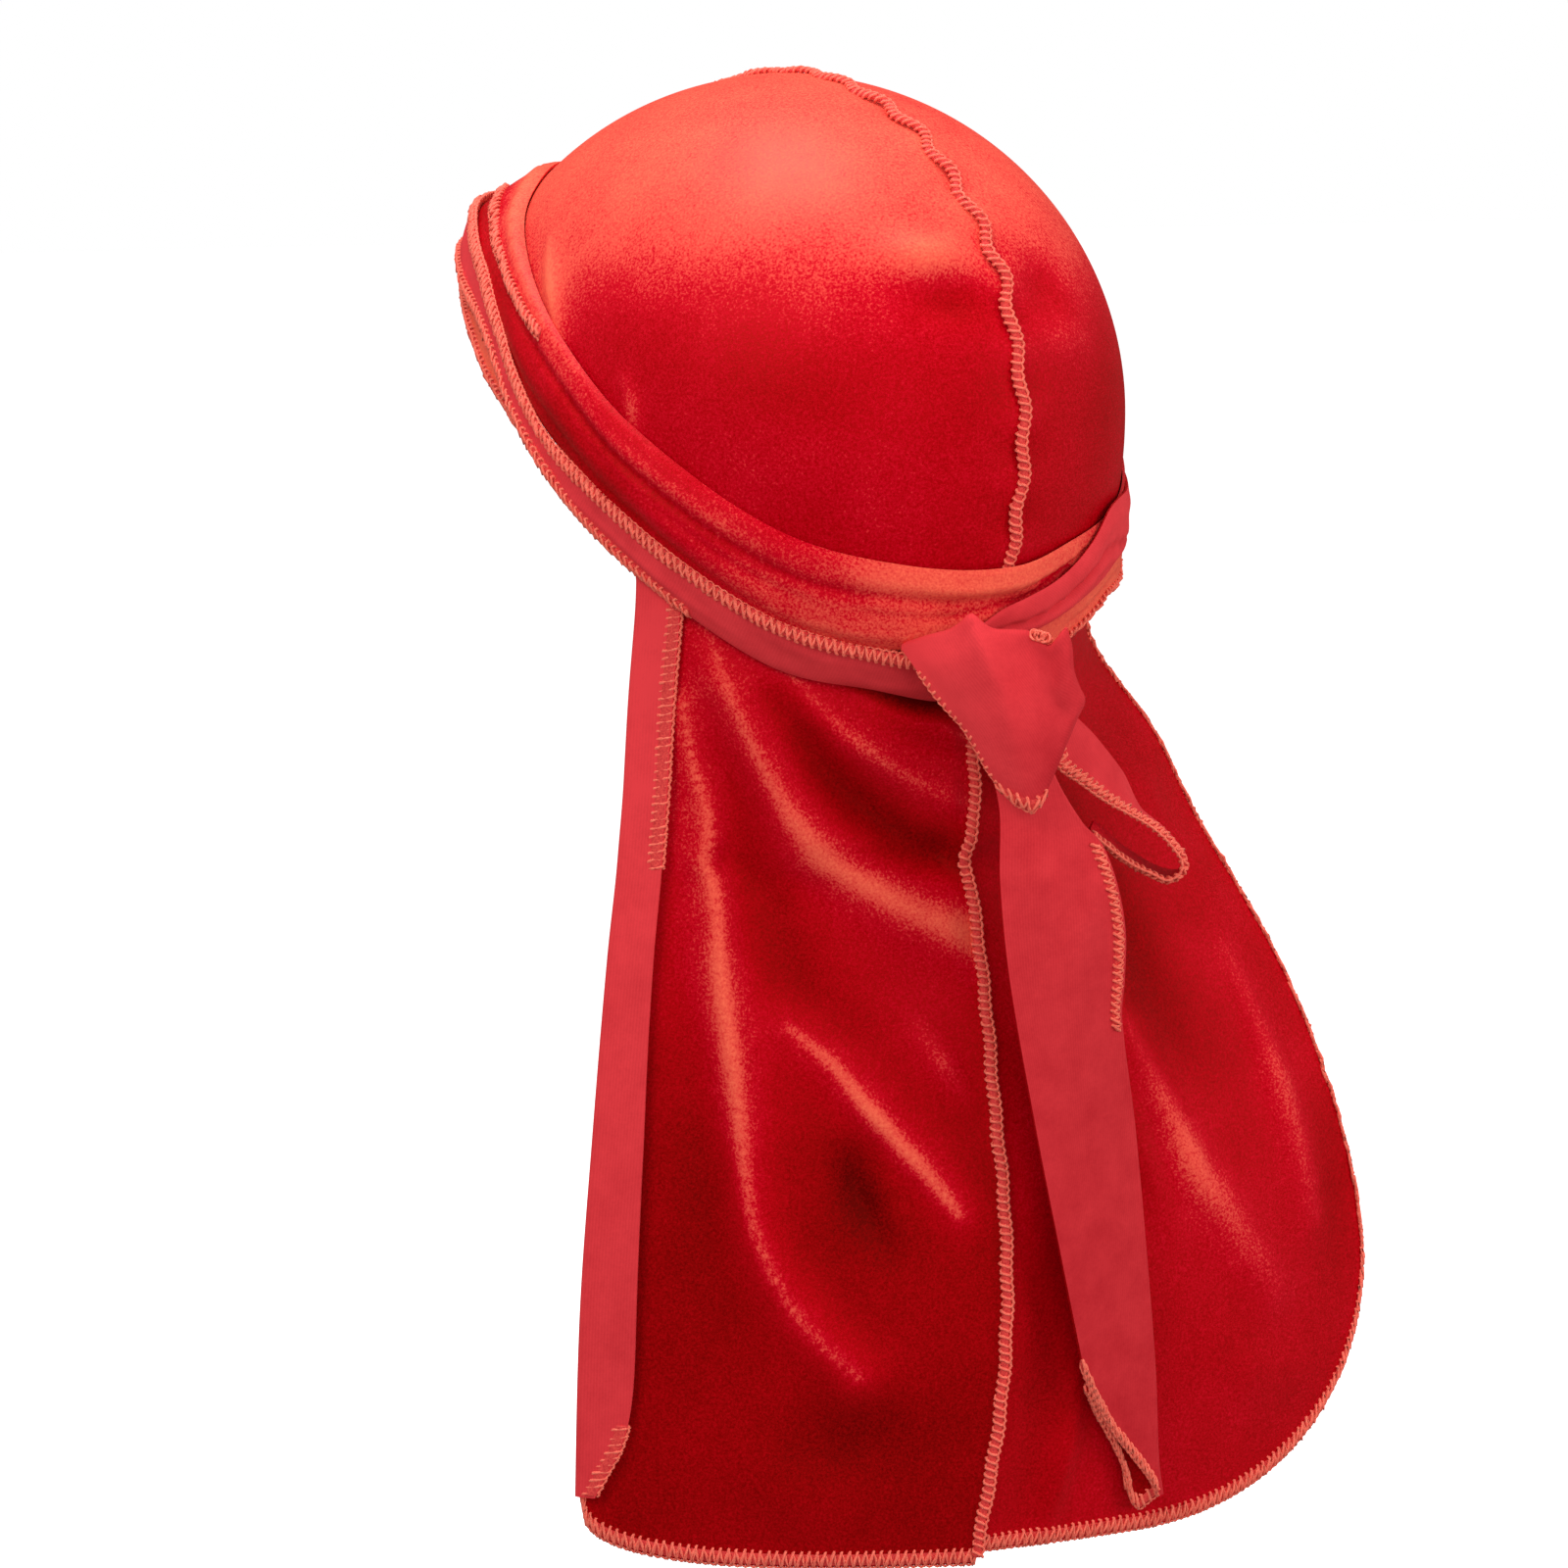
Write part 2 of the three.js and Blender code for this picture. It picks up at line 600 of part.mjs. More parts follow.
function buildShortEnd() {
  const [rows, columns] = [9, 5];
  const [top, bottom] = [shortEndRows[0].level, shortEndRows[shortEndRows.length - 1].level];
  const edges = shortEndRows.map((row) => ({
    level: row.level,
    leftAcross: row.left[0],
    leftOut: row.left[1],
    rightAcross: row.right[0],
    rightOut: row.right[1],
    crown: row.crown,
  }));
  const sheet = new Sheet();
  sheet.patch([0, rows], [0, columns], (row, column) => `${row} ${column}`, (row, column) => {
    const level = THREE.MathUtils.lerp(top, bottom, row / rows);
    const share = column / columns;
    const read = (name) => readTable(edges, "level", name, level);
    const across = THREE.MathUtils.lerp(read("leftAcross"), read("rightAcross"), share);
    const out = THREE.MathUtils.lerp(read("leftOut"), read("rightOut"), share);
    return looseEndPlace(across, out + read("crown") * Math.sin(Math.PI * share), level);
  }, true);
  return sheet.solid("short_tie_end", wrongSide, tieWall);
}

// Front layer, round the fold on the right, and back again behind
function buildLongEnd() {
  const [rows, layerColumns, foldColumns, layerGap] = [16, 3, 2, 1.8];
  const columns = 2 * layerColumns + foldColumns;
  const [top, bottom] = [longEndRows[0].level, longEndRows[longEndRows.length - 1].level];
  const edges = longEndRows.map((row) => ({
    level: row.level,
    leftX: row.left[0],
    leftY: row.left[1],
    rightX: row.right[0],
    rightY: row.right[1],
  }));
  const sheet = new Sheet();
  sheet.patch([0, rows], [0, columns], (row, column) => `${row} ${column}`, (row, column) => {
    const level = THREE.MathUtils.lerp(top, bottom, row / rows);
    const read = (name) => readTable(edges, "level", name, level);
    const left = new THREE.Vector3(read("leftX"), read("leftY"), level);
    const right = new THREE.Vector3(read("rightX"), read("rightY"), level);
    const along = right.clone().sub(left).normalize();
    const back = new THREE.Vector3(-along.y, along.x, 0);
    const behind = column > layerColumns + foldColumns / 2;
    const fromFold = behind ? columns - column : column;
    const share = Math.min(fromFold / layerColumns, 1);
    const place = left.lerp(right, share);
    if (fromFold > layerColumns) {
      return place.addScaledVector(along, layerGap / 2).addScaledVector(back, layerGap / 2);
    }
    return place.addScaledVector(back, behind ? layerGap : 0);
  }, true);
  return sheet.solid("long_tie_end", wrongSide, tieWall);
}

function buildLoop() {
  const nearEdge = loopRoute.map((row) => looseEndPlace(row.across, row.out, row.level));
  const curve = new THREE.CatmullRomCurve3(nearEdge);
  const across = new THREE.Vector3(...loopWidth);
  const [rows, columns] = [18, 2];
  const sheet = new Sheet();
  sheet.patch([0, rows], [0, columns], (row, column) => `${row} ${column}`, (row, column) => (
    curve.getPointAt(row / rows).addScaledVector(across, column / columns)
  ), true);
  return sheet.solid("tie_loop", wrongSide, tieWall);
}

// The knot is a small bun with the grooves of the cloth wound round it
function buildKnot() {
  const [segments, rings, groove] = [14, 10, 0.12];
  const geometry = new THREE.SphereGeometry(1, segments, rings);
  const corners = geometry.attributes.position;
  for (let i = 0; i < corners.count; i += 1) {
    const place = new THREE.Vector3().fromBufferAttribute(corners, i);
    const waist = 1 + groove * Math.cos(3 * Math.PI * place.x);
    corners.setXYZ(i, place.x, place.y * waist, place.z * waist);
  }
  geometry.scale(...knotHalf);
  geometry.computeVertexNormals();
  const mesh = new THREE.Mesh(geometry, new THREE.MeshStandardMaterial(wrongSide));
  mesh.name = "tie_knot";
  mesh.position.set(...knotCentre);
  return mesh;
}

const group = new THREE.Group();
group.add(
  buildPanel("left_panel", leftHalf),
  buildPanel("right_panel", rightHalf),
  buildCentreSeam(),
  buildWoundTie("left_tie_first_pass", velvet, leftFirstPass, 6, 2),
  buildWoundTie("left_tie_second_pass", wrongSide, leftSecondPass, 3, 1),
  buildWoundTie("right_tie_first_pass", velvet, rightFirstPass, 3, 1),
  buildWoundTie("right_tie_second_pass", wrongSide, rightSecondPass, 3, 1),
  buildKnot(),
  buildLoop(),
  buildShortEnd(),
  buildLongEnd(),
);

export default group;
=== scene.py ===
import math

import bpy
import numpy as np
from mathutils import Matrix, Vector


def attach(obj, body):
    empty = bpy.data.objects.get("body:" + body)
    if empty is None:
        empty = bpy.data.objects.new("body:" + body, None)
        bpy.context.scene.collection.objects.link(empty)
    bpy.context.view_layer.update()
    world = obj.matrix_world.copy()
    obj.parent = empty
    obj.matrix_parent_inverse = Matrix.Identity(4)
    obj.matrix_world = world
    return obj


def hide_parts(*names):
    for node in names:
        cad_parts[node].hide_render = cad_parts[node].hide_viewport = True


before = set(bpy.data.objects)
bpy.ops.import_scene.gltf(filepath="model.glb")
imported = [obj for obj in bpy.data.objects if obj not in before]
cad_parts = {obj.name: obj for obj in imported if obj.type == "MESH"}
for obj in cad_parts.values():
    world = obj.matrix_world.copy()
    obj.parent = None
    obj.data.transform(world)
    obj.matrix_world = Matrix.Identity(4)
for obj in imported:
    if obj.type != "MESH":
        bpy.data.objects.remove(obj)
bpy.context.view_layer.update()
print("frame loaded:", ", ".join(sorted(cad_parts)))

mm = 0.001
degree = math.pi / 180
chance = np.random.default_rng(11)

cloth = {"panelWall": 0.9, "tieWall": 0.7, "panelStep": 1.7, "tieStep": 1.6}
panelSize = {"tailWidth": 118, "tailLength": 240, "crownWidth": 178, "crownLength": 200}


# Materials

def linear(hexColour):
    channels = [int(hexColour[i:i + 2], 16) / 255 for i in (0, 2, 4)]
    return [c / 12.92 if c <= 0.04045 else ((c + 0.055) / 1.055) ** 2.4 for c in channels] + [1]


def addNode(material, kind, settings=None, links=None):
    node = material.node_tree.nodes.new(kind)
    for key, value in (settings or {}).items():
        if isinstance(key, str) and hasattr(node, key):
            setattr(node, key, value)
        else:
            node.inputs[key].default_value = value
    for key, output in (links or {}).items():
        material.node_tree.links.new(output, node.inputs[key])
    return node


def newMaterial(name, settings):
    material = bpy.data.materials.new(name)
    material.use_nodes = True
    shader = material.node_tree.nodes["Principled BSDF"]
    for key, value in settings.items():
        shader.inputs[key].default_value = value
    return material, shader


def addNoise(material, place, size, detail, roughness=0.5):
    return addNode(material, "ShaderNodeTexNoise", {
        "Scale": 1 / (size * mm), "Detail": detail, "Roughness": roughness}, {"Vector": place}).outputs["Fac"]


# A value times a share, and more added to it
def addShare(material, value, share, more):
    return addNode(material, "ShaderNodeMath", {"operation": "MULTIPLY_ADD", 1: share},
                   {0: value, 2: more}).outputs[0]


def addRamp(material, factor, shades):
    ramp = addNode(material, "ShaderNodeValToRGB", links={"Fac": factor})
    stops = ramp.color_ramp.elements
    while len(stops) < len(shades):
        stops.new(0.5)
    for stop, (position, shade) in zip(stops, shades):
        stop.position = position
        stop.color = linear(shade)
    return ramp.outputs["Color"]


def addSurface(material, shader, colour, height, strength, depth):
    bump = addNode(material, "ShaderNodeBump", {"Strength": strength, "Distance": depth * mm},
                   {"Height": height})
    material.node_tree.links.new(colour, shader.inputs["Base Color"])
    material.node_tree.links.new(bump.outputs[0], shader.inputs["Normal"])
    return material


# The ramp's dark low stops are painted shade and its orange top stops painted highlight. The large noise is
# random tone of the nap.
velvet = {
    "shades": [(0.0, "5e0000"), (0.25, "920004"), (0.45, "b4000e"), (0.6, "cc0420"), (0.74, "e8483e"),
               (1.0, "fa6c50")],
    "speckle": 0.62, "mottle": 0.24, "sheen": "ff5038", "gloss": "ff5a48", "pile": 0.68, "napAndPaintedLight": 24,
    "roughness": (0.36, 0.56), "pileDepth": 0.12, "pileRise": 0.6,
}


# Stretch velvet: a short polyester pile on a knit. Its light and shade are painted into its colour:
# the piece's own attribute gives painted highlights where it is high and painted shade where it is low.
def velvetMaterial(name):
    material, shader = newMaterial(name, {
        "Sheen Weight": 0.06, "Sheen Roughness": 0.3, "Sheen Tint": linear(velvet["sheen"]),
        "Specular IOR Level": 0.28, "Specular Tint": linear(velvet["gloss"]), "IOR": 1.5,
    })
    place = addNode(material, "ShaderNodeTexCoord").outputs["Object"]
    # painted light and shade, from the piece's own attribute
    paintedLightShare = addNode(material, "ShaderNodeAttribute", {"attribute_name": "napAndPaintedLight"}).outputs["Fac"]
    # the pile is finer than this, and is drawn as coarse as it needs to show
    pile = addNoise(material, place, velvet["pile"], 2.0, 0.65)
    # random tone of the nap, in larger patches
    napAndPaintedLight = addNoise(material, place, velvet["napAndPaintedLight"], 4.0, 0.6)
    speckled = addShare(material, pile, velvet["speckle"], paintedLightShare)
    mottled = addShare(material, napAndPaintedLight, velvet["mottle"], speckled)
    centred = addNode(material, "ShaderNodeMath", {
        "operation": "SUBTRACT", 1: (velvet["speckle"] + velvet["mottle"]) / 2}, {0: mottled}).outputs[0]
    colour = addRamp(material, centred, velvet["shades"])
    rough = addNode(material, "ShaderNodeMapRange", {
        "From Min": 0.35, "From Max": 0.65, "To Min": velvet["roughness"][0],
        "To Max": velvet["roughness"][1]}, {"Value": pile})
    material.node_tree.links.new(rough.outputs[0], shader.inputs["Roughness"])
    return addSurface(material, shader, colour, pile, velvet["pileRise"], velvet["pileDepth"])


knitBack = {"shades": [(0.0, "ae1420"), (1.0, "e63c42")], "rib": 0.8, "ribDepth": 0.05, "ribShare": 0.16,
            "loop": 0.6, "loopShare": 0.3, "mottle": 9, "napAndPaintedLight": 2, "tones": (0.85, 2.2), "rise": 0.5}


# The velvet's wrong side: a fine matte knit, lighter and pinker than the pile, with faint ribs
# that run along the cloth
def knitMaterial(name):
    material, shader = newMaterial(name, {
        "Sheen Weight": 0.05, "Sheen Roughness": 0.6, "Sheen Tint": linear("ff7a6c"),
        "Specular IOR Level": 0.12, "Roughness": 0.85})
    across = addNode(material, "ShaderNodeUVMap", {"uv_map": "cloth"}).outputs["UV"]
    place = addNode(material, "ShaderNodeTexCoord").outputs["Object"]
    # at this scale the wave texture makes one rib in each rib's width
    rib = addNode(material, "ShaderNodeTexWave", {
        "Scale": 0.314 / (knitBack["rib"] * mm), "Distortion": 1.2, "Detail": 2.0,
        "Detail Scale": 1.5}, {"Vector": across}).outputs["Fac"]
    mottle = addNoise(material, place, knitBack["mottle"], 5.0, 0.65)
    loops = addNoise(material, place, knitBack["loop"], 1.0)
    ribbed = addShare(material, rib, knitBack["ribShare"], mottle)
    mixed = addShare(material, loops, knitBack["loopShare"], ribbed)
    # painted light and shade from the piece's own attribute, added to the knit's tone
    napAndPaintedLight = addNode(material, "ShaderNodeAttribute", {"attribute_name": "napAndPaintedLight"}).outputs["Fac"]
    lit = addShare(material, napAndPaintedLight, knitBack["napAndPaintedLight"], mixed)
    darkest, brightest = knitBack["tones"]
    tone = addNode(material, "ShaderNodeMapRange", {"From Min": darkest, "From Max": brightest},
                   {"Value": lit}).outputs[0]
    colour = addRamp(material, tone, knitBack["shades"])
    return addSurface(material, shader, colour, mixed, knitBack["rise"], knitBack["ribDepth"])


overlockThread = {"fuzz": 0.5, "fuzzDepth": 0.08, "rise": 0.5}


# Textured polyester overlock thread, loosely twisted, with a soft matte shine
def threadMaterial(name, deep, bright):
    material, shader = newMaterial(name, {
        "Sheen Weight": 0.15, "Sheen Roughness": 0.5, "Sheen Tint": linear("ffb09c"),
        "Specular IOR Level": 0.3, "Roughness": 0.7})
    place = addNode(material, "ShaderNodeTexCoord").outputs["Object"]
    fuzz = addNoise(material, place, overlockThread["fuzz"], 2.0)
    colour = addRamp(material, fuzz, [(0.3, deep), (0.7, bright)])
    return addSurface(material, shader, colour, fuzz, overlockThread["rise"], overlockThread["fuzzDepth"])


pileSide = velvetMaterial("stretch_velvet")
knit = knitMaterial("velvet_knit_back")
thread = threadMaterial("overlock_thread", "f0584a", "ff8068")
# a darker copy of the thread for the threads under the stitches: painted shade
threadShade = threadMaterial("overlock_thread_under_painted_shade", "c4242a", "e84840")
print("materials made")


# Curves, tables and the head form

def smoothStep(share):
    t = np.clip(share, 0, 1)
    return t * t * (3 - 2 * t)


def unit(vectors):
    return vectors / np.maximum(np.linalg.norm(vectors, axis=-1, keepdims=True), 1e-9)


# The rows of a table as dictionaries, from the names of its columns and its values
def table(columns, rows):
    return [dict(zip(columns.split(), row)) for row in rows]


# A fold: its crest's points, its rise at the start, middle and end, how far it spreads at the start and
# end, and for a lit one its painted highlight (painted shade where below zero) and how wide, at the start,
# middle and end
def crease(line, rise, spread, glow=None, glowWidth=None):
    fold = {"line": line, "rise": rise, "spread": spread}
    return {**fold, "glow": glow, "glowWidth": glowWidth} if glow else fold


# One column of a table, on a smooth curve through its rows, which may rise or fall
def readTable(rows, key, column, at):
    x = np.array([row[key] for row in rows], float)
    y = np.array([row[column] for row in rows], float)
    if x[1] < x[0]:
        x, y = x[::-1], y[::-1]
    before = np.maximum(np.arange(len(x)) - 1, 0)
    after = np.minimum(np.arange(len(x)) + 1, len(x) - 1)
    slope = (y[after] - y[before]) / (x[after] - x[before])
    at = np.clip(np.asarray(at, float), x[0], x[-1])
    i = np.clip(np.searchsorted(x, at, side="right") - 1, 0, len(x) - 2)
    span = x[i + 1] - x[i]
    t = (at - x[i]) / span
    turn = y[i] - y[i + 1]
    curve = 2 * turn + (slope[i] + slope[i + 1]) * span
    lean = -3 * turn - (2 * slope[i] + slope[i + 1]) * span
    return ((curve * t + lean) * t + slope[i] * span) * t + y[i]


# Length along a row of points, from its first one
def lengthAlong(points):
    return np.concatenate([[0], np.cumsum(np.linalg.norm(np.diff(points, axis=0), axis=1))])


def readPoints(points, along, at):
    return np.stack([np.interp(at, along, points[:, k]) for k in range(points.shape[1])], -1)


# Points evenly spaced on a smooth curve through a few given ones
def smoothCurve(points, count):
    points = np.array(points, float)
    length = lengthAlong(points)
    rows = [{"at": s, **{str(k): v for k, v in enumerate(p)}} for s, p in zip(length, points)]
    fine = np.linspace(0, length[-1], 400)
    path = np.stack([readTable(rows, "at", str(k), fine) for k in range(points.shape[1])], -1)
    along = lengthAlong(path)
    return readPoints(path, along, np.linspace(0, along[-1], count))


head = {"halfWidth": 83, "halfDepth": 102, "widestLevel": -88, "crownHeight": 89.2,
        "napeTaper": 0.00004, "napeArc": 140}


# A point on the head form, outside the crown's cloth, and the way out of it
def headAt(angle, level):
    angle, level = np.broadcast_arrays(np.asarray(angle, float), np.asarray(level, float))
    above = level - head["widestLevel"]
    dome = np.sqrt(np.clip(1 - (above / head["crownHeight"]) ** 2, 0, None))
    nape = 1 - head["napeTaper"] * above ** 2
    share = np.where(above > 0, dome, nape)
    x = head["halfWidth"] * share * np.sin(angle * degree)
    y = head["halfDepth"] * share * np.cos(angle * degree)
    rise = np.where(above > 0, above / head["crownHeight"] ** 2, 2 * share * head["napeTaper"] * above)
    out = np.stack([x / head["halfWidth"] ** 2, y / head["halfDepth"] ** 2, rise], -1)
    return np.stack([x, y, level], -1), unit(out)


# Distance from points of a flat chart to a fold's crest, and the share of the crest's length there
def nearFold(fold, across, along):
    crest = smoothCurve(fold["line"], 60)
    gaps = np.hypot(across[..., None] - crest[:, 0], along[..., None] - crest[:, 1])
    return gaps.min(-1), gaps.argmin(-1) / (len(crest) - 1)


# Height of the folds: each has a rise at its start, middle and end
def foldRise(folds, across, along):
    total = np.zeros(np.shape(across))
    for fold in folds:
        gap, share = nearFold(fold, across, along)
        rise = np.interp(share, [0, 0.5, 1], fold["rise"])
        total += rise * np.exp(-(gap / np.interp(share, [0, 1], fold["spread"])) ** 2)
    return total


# A lit crest's painted highlight is a bright line in a wider, fainter one. A valley's painted shade spreads
# past its own slopes.
paintedLightShape = {"line": 0.55, "around": 0.45, "wider": 6, "valley": 0.1, "valleySpread": 1.3}


# Painted light on the folds: painted highlights on the crests that have one, painted shade in the valleys
def foldPaintedLight(folds, across, along):
    total = np.zeros(np.shape(across))
    for fold in folds:
        gap, share = nearFold(fold, across, along)
        if "glow" in fold:
            glow = np.interp(share, [0, 0.5, 1], fold["glow"])
            width = np.interp(share, [0, 0.5, 1], fold["glowWidth"])
            total += glow * (paintedLightShape["line"] * np.exp(-(gap / width) ** 2)
                             + paintedLightShape["around"] * np.exp(-(gap / (width + paintedLightShape["wider"])) ** 2))
        elif min(fold["rise"]) < 0:
            depth = np.interp(share, [0, 0.5, 1], fold["rise"])
            spread = paintedLightShape["valleySpread"] * np.interp(share, [0, 1], fold["spread"])
            total += paintedLightShape["valley"] * depth * np.exp(-(gap / spread) ** 2)
    return total


# Meshes

# An object from points, faces, a flat chart in millimetres and the look of each face
def finishMesh(name, points, faces, uvs, looks, faceLooks=None):
    mesh = bpy.data.meshes.new(name)
    mesh.from_pydata((np.asarray(points) * mm).tolist(), [], faces)
    if uvs is not None:
        layer = mesh.uv_layers.new(name="cloth")
        corners = np.array([v for face in faces for v in face])
        layer.data.foreach_set("uv", (np.asarray(uvs)[corners] * mm).ravel())
    piece = bpy.data.objects.new(name, mesh)
    bpy.context.collection.objects.link(piece)
    for look in looks:
        mesh.materials.append(look)
    if faceLooks is not None:
        mesh.polygons.foreach_set("material_index", faceLooks)
    bpy.ops.object.select_all(action="DESELECT")
    piece.select_set(True)
    bpy.context.view_layer.objects.active = piece
    return piece


def gridFaces(rows, columns, start, turned):
    corner = start + np.arange(rows - 1)[:, None] * columns + np.arange(columns - 1)
    quads = np.stack([corner, corner + 1, corner + columns + 1, corner + columns], -1).reshape(-1, 4)
    return (quads[:, ::-1] if turned else quads).tolist()


def chart(grid):
    across = np.linalg.norm(np.diff(grid, axis=1, prepend=grid[:, :1]), axis=2).cumsum(1)
    along = np.linalg.norm(np.diff(grid, axis=0, prepend=grid[:1]), axis=2).cumsum(0)
    return np.stack([across, along], -1)


# The piece's painted light and shade, stored on its points
def setPaintedLight(piece, napAndPaintedLight):
    piece.data.attributes.new("napAndPaintedLight", "FLOAT", "POINT").data.foreach_set("value", napAndPaintedLight)


# A sheet of cloth from one or more grids of points that share their edges. Rows run down and
# columns run clockwise seen from above, or the other way if turned.
def makeSheet(name, grids, wall, outer, inner, turned, paintedLights):
    points, faces, uvs = [], [], []
    for grid in grids:
        start = sum(len(p) for p in points)
        faces += gridFaces(grid.shape[0], grid.shape[1], start, turned)
        points.append(grid.reshape(-1, 3))
        uvs.append(chart(grid).reshape(-1, 2))
    piece = finishMesh(name, np.concatenate(points), faces, np.concatenate(uvs), [outer, inner])
    setPaintedLight(piece, np.concatenate([napAndPaintedLight.ravel() for napAndPaintedLight in paintedLights]))
    bpy.ops.object.mode_set(mode="EDIT")
    bpy.ops.mesh.select_all(action="SELECT")
    bpy.ops.mesh.remove_doubles(threshold=0.01 * mm)
    bpy.ops.object.mode_set(mode="OBJECT")
    thick = piece.modifiers.new("cloth thickness", "SOLIDIFY")
    thick.thickness = wall * mm
    thick.offset = 0
    thick.material_offset = 1
    thick.material_offset_rim = 1
    bpy.ops.object.modifier_apply(modifier=thick.name)
    bpy.ops.object.shade_smooth_by_angle(angle=50 * degree)
    return piece


# Overlock stitching along a cloth's edge

# A thread's path is given as a share of the stitch's width and of its height at each of
# its steps, and the thickness of each thread is a share of the wrapping one's.
overlock = {
    "pitch": 2.1, "thread": 0.42, "height": 0.75, "tieHeight": 0.62, "sides": 5, "steps": 8, "wander": 0.16,
    "wrapReach": [1, 0.62, 0.18, -0.14, 0.18, 0.62, 1, 1.06], "wrapLift": [0.8, 1, 1, 0, -1, -1, -0.8, 0],
    "wrapWander": 0.6, "zigzagReach": [0.95, 0.5, 0.02, 0.5], "zigzagLift": [1.0, 1.35, 1.0, 1.35],
    "zigzagThread": 0.95, "edgeOut": -0.35, "edgeWave": 0.28, "edgeLift": 0.25, "edgeThread": 0.9,
    "underHalf": 0.52, "underHeight": 0.95, "underInset": 0.46,
    "innerWidth": 2.8, "innerLift": 0.35,
}


# A solid strip of one profile along a path
def sweep(path, across, up, profile):
    rings = path[:, None] + profile[:, :1] * across[:, None] + profile[:, 1:] * up[:, None]
    count, sides = len(path), len(profile)
    corner = np.arange(count - 1)[:, None] * sides + np.arange(sides)
    nextCorner = np.arange(count - 1)[:, None] * sides + np.roll(np.arange(sides), -1)
    quads = np.stack([corner, nextCorner, nextCorner + sides, corner + sides], -1).reshape(-1, 4)
    caps = [list(range(sides))[::-1], list(range((count - 1) * sides, count * sides))]
    return rings.reshape(-1, 3), quads.tolist() + caps


def tube(path, reference, radius, sides):
    along = unit(np.gradient(path, axis=0))
    across = unit(np.cross(along, reference))
    up = np.cross(across, along)
    turn = np.arange(sides) / sides * 2 * math.pi
    return sweep(path, across, up, radius * np.stack([np.cos(turn), np.sin(turn)], -1))


# Edge points with the way into the cloth and the way out of its face, spaced by the stitches
def evenEdge(edge, inward, out, step):
    along = lengthAlong(edge)
    even = np.arange(0, along[-1], step)
    place, into, up = [readPoints(rows, along, even) for rows in (edge, inward, out)]
    return place, unit(into), unit(up)


# One thread wraps the edge over and under, a second crosses it in a zigzag on the face and a third runs
# along it. The threads under them are drawn as one flat core in a darker copy of the thread: painted shade.
def stitchEdge(edge, inward, out, width, zigzag=True, height=None, radius=None, under=1):
    radius = radius or overlock["thread"]
    height = height or overlock["height"]
    steps = overlock["steps"]
    place, into, up = evenEdge(edge, inward, out, overlock["pitch"] / steps)
    phase = np.arange(len(place)) % steps
    reach = np.array(overlock["wrapReach"])[phase] * width
    lift = np.array(overlock["wrapLift"])[phase] * height
    lift = np.where(lift < 0, lift * under, lift)
    beside = unit(np.gradient(place, axis=0))
    shake = chance.normal(0, overlock["wander"], (len(place), 3))
    wrap = place + into * reach[:, None] + up * lift[:, None] + shake * overlock["wrapWander"]
    parts = [tube(wrap, beside, radius, overlock["sides"])]
    pick = np.arange(0, len(place), steps // 4)
    quarter = np.arange(len(pick))
    place, into, up = place[pick], into[pick], up[pick]
    if zigzag:
        sway = np.array(overlock["zigzagReach"])[quarter % 4] * width
        over = np.array(overlock["zigzagLift"])[quarter % 4] * height
        path = place + into * sway[:, None] + up * over[:, None] + shake[pick]
        parts.append(tube(path, up, radius * overlock["zigzagThread"], overlock["sides"]))
    wave = overlock["edgeOut"] + overlock["edgeWave"] * np.sin(quarter / 4 * 2 * math.pi)
    line = place + into * wave[:, None] + up * (overlock["edgeLift"] * height)
    parts.append(tube(line, up, radius * overlock["edgeThread"], 4))
    turn = np.arange(8) / 8 * 2 * math.pi
    profile = np.stack([np.cos(turn) * width * overlock["underHalf"],
                        np.sin(turn) * height * overlock["underHeight"]], -1)
    shade = sweep(place + into * (width * overlock["underInset"]), into, up, profile)
    return [(part, 0) for part in parts] + [(shade, 1)]


def makeStitches(name, parts):
    points, faces, looks, count = [], [], [], 0
    for (verts, quads), look in parts:
        points.append(verts)
        faces += [[v + count for v in quad] for quad in quads]
        looks += [look] * len(quads)
        count += len(verts)
    piece = finishMesh(name, np.concatenate(points), faces, None, [thread, threadShade], looks)
    bpy.ops.object.mode_set(mode="EDIT")
    bpy.ops.mesh.select_all(action="SELECT")
    bpy.ops.mesh.normals_make_consistent(inside=False)
    bpy.ops.object.mode_set(mode="OBJECT")
    bpy.ops.object.shade_smooth()
    return piece


# The edge of a grid with its inward and outward directions. side is first or last row or column.
def gridEdge(grid, side, turned=False):
    edge, beside, flip = {"top": (grid[0], grid[1], -1), "bottom": (grid[-1], grid[-2], 1),
                          "first": (grid[:, 0], grid[:, 1], 1), "last": (grid[:, -1], grid[:, -2], -1)}[side]
    inward = unit(beside - edge)
    out = unit(np.cross(inward, unit(np.gradient(edge, axis=0))))
    return edge, inward, out * (-flip if turned else flip)


# The two panels: crown and tail

crown = {
    "edge": table("angle level", [(0, -150), (20, -148), (43, -141), (60, -126), (73, -112), (85, -88),
        (98, -64), (115, -50), (140, -42), (180, -38)]),
    # places where the cloth stands out or sinks in
    "dents": table("angle level rise wide high", [(15, -44, 1.9, 13, 5), (12, -55, -2.0, 12, 6),
        (-11, -52, -1.5, 9, 8), (-14, -66, 0.9, 12, 7), (34, -100, 0.7, 30, 16)]),
    "puckers": [crease([(100, -76), (98, -83), (97, -90)], (0.4, 0.9, 0.5), (1.6, 2), (0.1, 0.16, 0.1),
                       (1, 1.4, 1)),
                crease([(137, -42), (129, -53), (121, -66)], (0.4, 1.1, 0.6), (2.5, 2.5),
                       (0.14, 0.3, 0.16), (1, 1.2, 1))],
    # painted light: a base level, painted shade in the dents and painted highlight on the bumps, and the span
    # of the painted highlight over the top
    "seamWave": 17, "seamPucker": 0.45, "seamReach": 7, "puckerSpan": {"from": -60, "to": -20},
    "napAndPaintedLight": 0.44, "risePaintedLight": 0.11, "topSpan": {"from": -80, "to": -22},
}

